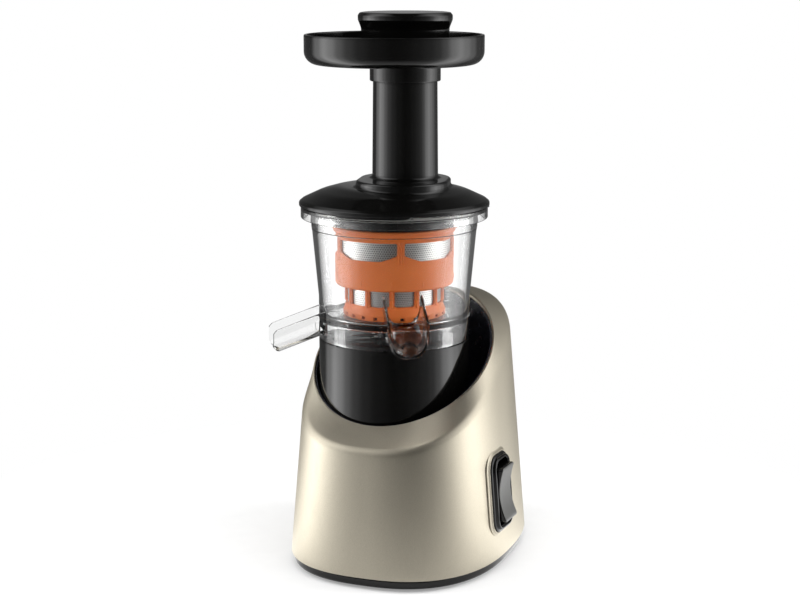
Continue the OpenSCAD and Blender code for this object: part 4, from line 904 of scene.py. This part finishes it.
def auger():
    n, rows = 96, []
    for z in np.arange(AUGER_Z, AUGER_TOP + 1e-6, 1.0):
        core, edge = auger_radii(z)
        fade = min(1.0, max(0.0, (AUGER_TOP - 1.5 - z) / 3.5))
        row = []
        for i in range(n):
            # full on the screw's line, smooth down to the core beside it
            ph = ((z - AUGER_Z) / AUGER_PITCH - i / n - 0.06) % 1.0
            k = min(1.0, max(0.0, (0.115 - min(ph, 1 - ph)) / 0.05))
            k = 1.0 if z < AUGER_Z + 4.2 else k * k * (3 - 2 * k) * fade
            r = core + (edge - core) * k - (0.6 if z > AUGER_TOP - 0.6 else 0)
            a = 2 * pi * i / n
            row.append((r * cos(a), r * sin(a), z))
        rows.append(row)
    ob = raw("auger_screw", skin([[(0, 0, AUGER_Z)]] + rows + [[(0, 0, AUGER_TOP)]]))
    wide, top = HUB_OUT + 0.8, HUB_Z + 1
    bore = [(0, AUGER_Z - 1), (wide, AUGER_Z - 1), (wide, top), (9.75, top), (9.75, HUB_Z + 10.1), (0, HUB_Z + 10.1)]
    cut(ob, lathe(bore, 64))
    piece(ob, "auger_dark", "auger", "auger", 45)


# ---- lid
# the dome's outline from under its middle to its top
DOME = rounded([
    (0, LID_LOW, 0), (LID_R, LID_LOW, 0.5), (LID_R, LID_LOW + 2.6, 1.6), (LID_R - 2.5, LID_LOW + 4.6, 4.0),
    (LID_R - 16.4, DOME_Z - 4.8, 40), (LID_R - 30.6, DOME_Z - 0.8, 60), (LID_R - 41, DOME_Z, 60), (0, DOME_Z, 0)], 8)


def dome_height(r):
    top = DOME[np.argmax(DOME[:, 0] > LID_R - 1.0):]
    order = np.argsort(top[:, 0])
    return float(np.interp(r, top[order, 0], top[order, 1]))


def plinth_outline(d, n=144):
    """Hull of the plinth's two circles moved out by d."""
    c0, c1, r = np.array(CHUTE), np.array((CHUTE[0] + 3.5, CHUTE[1] - 16.0)), 36.0 + d
    out = []
    for a in circle(n):
        u = np.array((cos(a), sin(a)))
        out.append((c0 if u @ (c0 - c1) > 0 else c1) + r * u)
    return out


def plinth_and_chute():
    """Flared foot, upright side and rounded edge of the plinth, then the same of the chute."""
    foot, edge, neck = 2.4, 2.0, 3.0

    def on_dome(d, h):
        return [(x, y, dome_height(hypot(x, y)) + h) for x, y in plinth_outline(d)]

    def level(d, z):
        return [(x, y, z) for x, y in plinth_outline(d)]

    rows = [on_dome(foot, -1.2), on_dome(foot, -0.05)]
    rows += [on_dome(foot * (1 - sin(a)), foot * (1 - cos(a))) for a in quarter(6)[1:]]
    rows += [level(-edge * (1 - cos(a)), PLINTH_Z - edge + edge * sin(a)) for a in quarter(6)]
    rows.append(level(-5.0, PLINTH_Z))
    chute = [(CHUTE_R0 + neck * (1 - sin(a)), PLINTH_Z + neck * (1 - cos(a))) for a in quarter(7)]
    z0, z1 = PLINTH_Z + neck, TRAY_Z - COLLAR_L - 3
    chute += [(CHUTE_R0 + (CHUTE_R1 - CHUTE_R0) * k / 7, z0 + (z1 - z0) * k / 7) for k in range(1, 8)]
    chute += [(CHUTE_R1, CHUTE_TOP - 0.8), (CHUTE_R1 - 0.25, CHUTE_TOP - 0.25), (CHUTE_R1 - 0.8, CHUTE_TOP),
              (CHUTE_BORE + 0.6, CHUTE_TOP), (CHUTE_BORE - 2, CHUTE_TOP)]
    return skin(rows + [ring(r, z, 144, CHUTE) for r, z in chute], caps=BOTH)


def lug(start):
    """Arc that grips the bowl's flange, thinner at both ends."""
    rows = []
    top, r0, r1 = LID_LOW + 0.8, FLANGE_R + 0.3, LID_R - 0.25
    for k, a in enumerate(np.linspace(start - LUG_A / 2, start + LUG_A / 2, 25)):
        low = LID_LOW - 1.9 + (0.8 if k in (0, 24) else 0.25 if k in (1, 23) else 0)
        c, s = cos(radians(a)), sin(radians(a))
        rows.append([(r * c, r * s, z) for r, z in (
            (r0, top), (r0, low + 0.3), (FLANGE_R + 0.5, low), (LID_R - 0.5, low), (r1, low + 0.4), (r1, top))])
    return skin(rows, caps=BOTH)


def lid():
    spigot = [(SPIGOT_R - d, LID_LOW - h) for d, h in (
        (0.5, 7), (0, 6.5), (0, 5.6), (1.8, 5.6), (1.8, 2.2), (0, 2.2), (0, 0))]
    outline = [(0, LID_LOW - 7)] + spigot + list(DOME[1:-1]) + [(0, DOME_Z)]
    ob = raw("lid_dome", lathe(outline, 192))
    add(ob, plinth_and_chute())
    wide = CHUTE_BORE + 0.8
    bore = [(0, DOME_Z - 20), (CHUTE_BORE, DOME_Z - 20), (CHUTE_BORE, CHUTE_TOP - 0.7), (wide, CHUTE_TOP + 0.2),
            (wide, CHUTE_TOP + 5), (0, CHUTE_TOP + 5)]
    cut(ob, lathe(bore, 96, CHUTE))
    # hollow outside and funnel inside the holding ring
    inner, outer, under, low = DRUM_R - 0.6, DRUM_R + 1.5, DOME_Z - LID_T, PRESS_Z - 10
    hollow = rounded([
        (outer, low, 0), (SPIGOT_R - 2.6, low, 0), (SPIGOT_R - 2.6, LID_LOW + 1, 1.5),
        (LID_R - 17.4, under - 5.8, 3), (outer, under - 2, 1.5)])
    cut(ob, lathe(hollow))
    funnel = rounded([(inner, DOME_Z - 11.5, 3), (DRUM_R - 5.1, under, 4), (0, under, 0), (0, low, 0)], 4)[:-2]
    cut(ob, lathe([(0, low), (inner, low), *funnel, (0, under)]))
    holding = rounded([
        (inner, PRESS_Z, 0.5), (outer, PRESS_Z, 0.5), (outer, LID_LOW + 0.4, 0), (inner, LID_LOW + 0.4, 0)], 3)
    add(ob, lathe(densified(holding, 6)))
    add(ob, join(*[lug(LUG_PHASE + i * 120) for i in range(3)]))
    piece(ob, "black_gloss", "lid", "lid lid_plate lid_funnel lid_ring chute_plinth feed_chute", 30)
    r0, r1, z0, z1 = SPIGOT_R - 1.6, SPIGOT_R + 0.15, LID_LOW - 5.4, LID_LOW - 2.4
    seal = rounded([(r0, z0, 0.4), (r1, z0, 0.9), (r1, z1, 0.9), (r0, z1, 0.4)])
    piece(raw("seal_ring", lathe(seal, 160)), "silicone_white", "lid_seal", "lid_seal")


# ---- feed tray and pusher
def tray():
    r, z0, z1, t, rr = TRAY_R, TRAY_Z, TRAY_Z + TRAY_H, TRAY_T, TRAY_ROUND
    dish = rounded([
        (0, z0, 0), (r, z0, rr), (r, z1 - 1.6, 0.3), (r - 0.1, z1, 1.0), (r - t, z1, 1.0), (r - t, z0 + t, rr - t),
        (0, z0 + t, 0)], 14)
    ob = raw("tray_dish", lathe(densified(dish, 6), 192))
    low = z0 - COLLAR_L
    collar = rounded([(10, low, 0), (COLLAR_OUT, low, 0.9), (COLLAR_OUT, z0 + 0.4, 0), (10, z0 + 0.4, 0)], 4)
    add(ob, lathe(densified(collar, 4), 96, CHUTE))
    # fillet between dish and collar
    f = 2.5
    fillet = [(COLLAR_OUT + f - f * sin(a), z0 - f + f * cos(a)) for a in quarter(6)]
    add(ob, lathe([(COLLAR_OUT - 0.5, z0 + 0.5), *fillet, (COLLAR_OUT - 0.5, z0 - f)], 96, CHUTE))
    edge, wide = z0 + t - 1.0, CHUTE_BORE + 1.0
    hole = [(0, low - 1), (COLLAR_IN, low - 1), (COLLAR_IN, z0), (CHUTE_BORE, z0), (CHUTE_BORE, edge)]
    hole += [(wide - cos(a), edge + sin(a)) for a in np.linspace(0.2, pi / 2, 5)]
    cut(ob, lathe(hole + [(wide, z0 + t + 3), (0, z0 + t + 3)], 96, CHUTE))
    piece(ob, "black_gloss", "tray", "feed_tray", 30)


def pusher():
    seat, inner, floor_z = TRAY_Z + TRAY_T + 0.3, PUSHER_R - PUSHER_T, PUSHER_Z + 3
    body = rounded([
        (0, PUSHER_Z, 0), (PUSHER_R, PUSHER_Z, 1.2), (PUSHER_R, seat, 0), (inner, seat, 0), (inner, floor_z, 1.0),
        (0, floor_z, 0)])
    body = lathe(densified(body, 8), 96, CHUTE)
    piece(raw("pusher_tube", body), "black_gloss", "pusher", "pusher_body", 30)
    under, hollow = CAP_Z - 3, CAP_R - 3.8
    cap = rounded([
        (0, under, 0), (hollow, under, 1), (hollow, seat + 2.5, 0.8), (inner, seat + 2.5, 0.2), (inner, seat, 0.2),
        (CAP_R - 3.2, seat, 0.8), (CAP_R - 2.4, CAP_Z - 12, 8), (CAP_R, CAP_Z - 6, 5), (CAP_R, CAP_Z - 2.4, 1.6),
        (CAP_R - 1.6, CAP_Z - 0.4, 1.0), (CAP_R - 4.4, CAP_Z, 3), (0, CAP_Z, 0)], 6)
    cap = lathe(densified(cap, 5), 144, CHUTE)
    piece(raw("pusher_knob", cap), "black_gloss", "pusher", "pusher_cap", 30)


# ---- CAD pieces that stay, each with its finish
KEPT = {
    "steel": "base_screws tower_screws gearbox_screws intermediate_pin output_bearings motor_can motor_stator "
             "motor_bearings motor_screws rocker_pin motor_shaft motor_rotor motor_pinion output_shaft "
             "auger_drive_socket",
    "cast_alloy": "gearbox_base gearbox_cover motor_bracket",
    "copper": "motor_windings",
    "gear": "intermediate_gear output_gear",
    "board": "control_board",
    "rubber": "shaft_seal",
    "black_matte": "board_components switch_body cooling_fan",
}


def dress_kept():
    for finish, names in KEPT.items():
        for name in names.split():
            me = frame["nodes"][name].data
            me.materials.clear()
            me.materials.append(FINISH[finish])


# ---- camera, lights
AZIMUTH, PITCH, LENS = radians(21), 11.35, 77.36
LOOK = (cos(AZIMUTH), sin(AZIMUTH))


def in_row(side, depth, z):
    """From millimetres to the camera's right, away from it and up, to the row frame."""
    x = side * LOOK[0] - depth * LOOK[1]
    y = side * LOOK[1] + depth * LOOK[0]
    return (x - ORIGIN[0]) * 0.001, (y - ORIGIN[1]) * 0.001, z * 0.001


def camera():
    cam = placed("camera", bpy.data.cameras.new("camera"))
    cam.data.sensor_width = 36.0
    cam.data.lens = LENS
    cam.data.clip_start, cam.data.clip_end = 0.05, 60.0
    cam.location = in_row(4.5, -1342.6, 478)
    cam.rotation_euler = (radians(90 - PITCH), 0, AZIMUTH)
    bpy.context.scene.camera = cam


def softbox(name, bearing, height, distance, width, tall, power, aim):
    """Area lamp at a bearing from the camera's side, positive to the right."""
    b = radians(bearing)
    lamp = bpy.data.lights.new(name, "AREA")
    lamp.shape, lamp.size, lamp.size_y, lamp.energy = "RECTANGLE", width, tall, power
    ob = placed(name, lamp)
    ob.visible_glossy = False
    ob.location = in_row(distance * sin(b), -distance * cos(b), height)
    ob.rotation_euler = (Vector(in_row(0, 0, aim)) - ob.location).to_track_quat("-Z", "Y").to_euler()


def lights():
    softbox("left", -92, 680, 1300, 0.6, 1.2, 16, 220)
    softbox("right", 90, 680, 1300, 0.6, 1.2, 16, 220)
    softbox("top", 10, 1500, 350, 1.3, 1.3, 16, 100)


# ---- world, floor
# brightness by bearing: 0 toward the camera, positive to its right
STUDIO = (
    (-180, 0.4), (-172, 0.15), (-150, 0.1), (-130, 0.15), (-114, 1.5), (-98, 3.6), (-86, 3.2), (-74, 1.8), (-60, 0.8),
    (-44, 0.34), (-25, 0.13), (0, 0.05), (14, 0.07), (30, 0.15), (46, 0.3), (58, 0.55), (68, 1.2), (80, 2.8), (92, 3.4),
    (104, 2.2), (118, 1.0), (132, 0.25), (150, 0.12), (172, 0.15), (180, 0.4))
STUDIO_MAX = 5.0


def studio(t, x, y):
    """What a reflection finds toward x, y: bright at both sides, dim in front and behind."""
    bearing = calc(t, "ARCTAN2", dot(t, x, y, *LOOK), dot(t, x, y, LOOK[1], -LOOK[0]))
    ramp = node(t, "ValToRGB")
    cr = ramp.color_ramp
    cr.interpolation = "EASE"
    for k, (b, v) in enumerate(STUDIO):
        at, grey = (b + 180) / 360, v / STUDIO_MAX
        stop = cr.elements[0] if k == 0 else cr.elements[-1] if k == len(STUDIO) - 1 else cr.elements.new(at)
        stop.position, stop.color = at, (grey, grey, grey, 1)
    links(t, (ranged(t, bearing, 0, 1, (-pi, pi)), ramp.inputs[0]))
    return calc(t, "MULTIPLY", ramp.outputs[0], STUDIO_MAX)


def ray_kinds(t):
    """Rays that see the background straight or through clear pieces, and mirrored ones."""
    lp = node(t, "LightPath")
    passing = lp.outputs["Is Transmission Ray"]
    unmirrored = calc(t, "SUBTRACT", 1.0, calc(t, "GREATER_THAN", lp.outputs["Glossy Depth"], 0.5))
    seen = calc(t, "MULTIPLY", calc(t, "MAXIMUM", lp.outputs["Is Camera Ray"], passing), unmirrored)
    bent = calc(t, "MAXIMUM", lp.outputs["Is Glossy Ray"], passing)
    return seen, calc(t, "MULTIPLY", bent, calc(t, "SUBTRACT", 1.0, seen))


def world():
    """White behind, the studio in reflections, plain grey for diffuse light."""
    w = bpy.data.worlds.new("studio")
    bpy.context.scene.world = w
    w.use_nodes = True
    t = w.node_tree
    t.nodes.clear()
    out = node(t, "OutputWorld")
    bg = node(t, "Background", Color=(1, 1, 1, 1))
    sep = node(t, "SeparateXYZ")
    links(t, (node(t, "TexCoord").outputs["Generated"], sep.inputs[0]))
    x, y, z = sep.outputs
    lit = calc(t, "MULTIPLY", studio(t, x, y), ranged(t, z, 0.7, 0, (0.5, 0.9)))
    # overhead: dark above the middle, light toward both sides
    side = calc(t, "ABSOLUTE", dot(t, x, y, *LOOK))
    top = calc(t, "MULTIPLY", ranged(t, side, 0.02, 2.2, (0.3, 0.8)), ranged(t, z, 0, 1, (0.5, 0.9)))
    seen, gloss = ray_kinds(t)
    plain = calc(t, "SUBTRACT", 1.0, calc(t, "MAXIMUM", seen, gloss))
    strength = calc(t, "ADD", seen, calc(t, "MULTIPLY", gloss, calc(t, "ADD", lit, top)))
    strength = calc(t, "ADD", strength, calc(t, "MULTIPLY", plain, 0.5))
    links(t, (strength, bg.inputs["Strength"]), (bg.outputs[0], out.inputs["Surface"]))


def floor():
    """Pale near the object, to keep its shadow, and white background further out; in reflections it glows with the
    studio's bright side strips, painted light that stands in for softboxes.
    """
    ob = raw("floor", skin([[(0, 0, 0)]] + [ring(r * 1000, 0, 64) for r in (0.2, 0.4, 0.8, 1.6, 4.0, 12.0)]))
    m, t, bsdf = shade("floor_white", Roughness=0.85, Specular_IOR_Level=0.0)
    grain = ranged(t, noise(t, coords(t), 60), 0, 1)
    links(t, (blended(t, grain, (0.8, 0.8, 0.8), (0.82, 0.82, 0.82)), bsdf.inputs["Base Color"]))
    glow = node(t, "Emission")
    mix = node(t, "MixShader")
    sep = node(t, "SeparateXYZ")
    links(t, (node(t, "NewGeometry").outputs["Position"], sep.inputs[0]))
    x, y = (calc(t, "ADD", sep.outputs[k], ORIGIN[k] * 0.001) for k in (0, 1))
    far = calc(t, "SQRT", dot(t, x, y, x, y))
    seen, gloss = ray_kinds(t)
    away = calc(t, "MULTIPLY", seen, ranged(t, far, 0.28, 1, (0.16, 0.42)))
    room = calc(t, "MULTIPLY", gloss, ranged(t, far, 0.45, 1, (0.16, 0.5)))
    # reflections see the floor glow with the studio's bright side strips: painted light, no lamp
    strength = calc(t, "ADD", seen, calc(t, "MULTIPLY", gloss, studio(t, x, y)))
    links(t, (calc(t, "ADD", away, room), mix.inputs[0]), (bsdf.outputs[0], mix.inputs[1]),
          (glow.outputs[0], mix.inputs[2]), (strength, glow.inputs["Strength"]),
          (mix.outputs[0], t.nodes["Material Output"].inputs["Surface"]))
    ob.data.materials.append(m)


housing()
switch()
rocker()
recess()
tower()
base()
gland()
bowl()
strainer()
small_bowl_pieces()
auger()
lid()
tray()
pusher()
dress_kept()
camera()
lights()
world()
floor()
bpy.context.scene.view_settings.view_transform = "Standard"
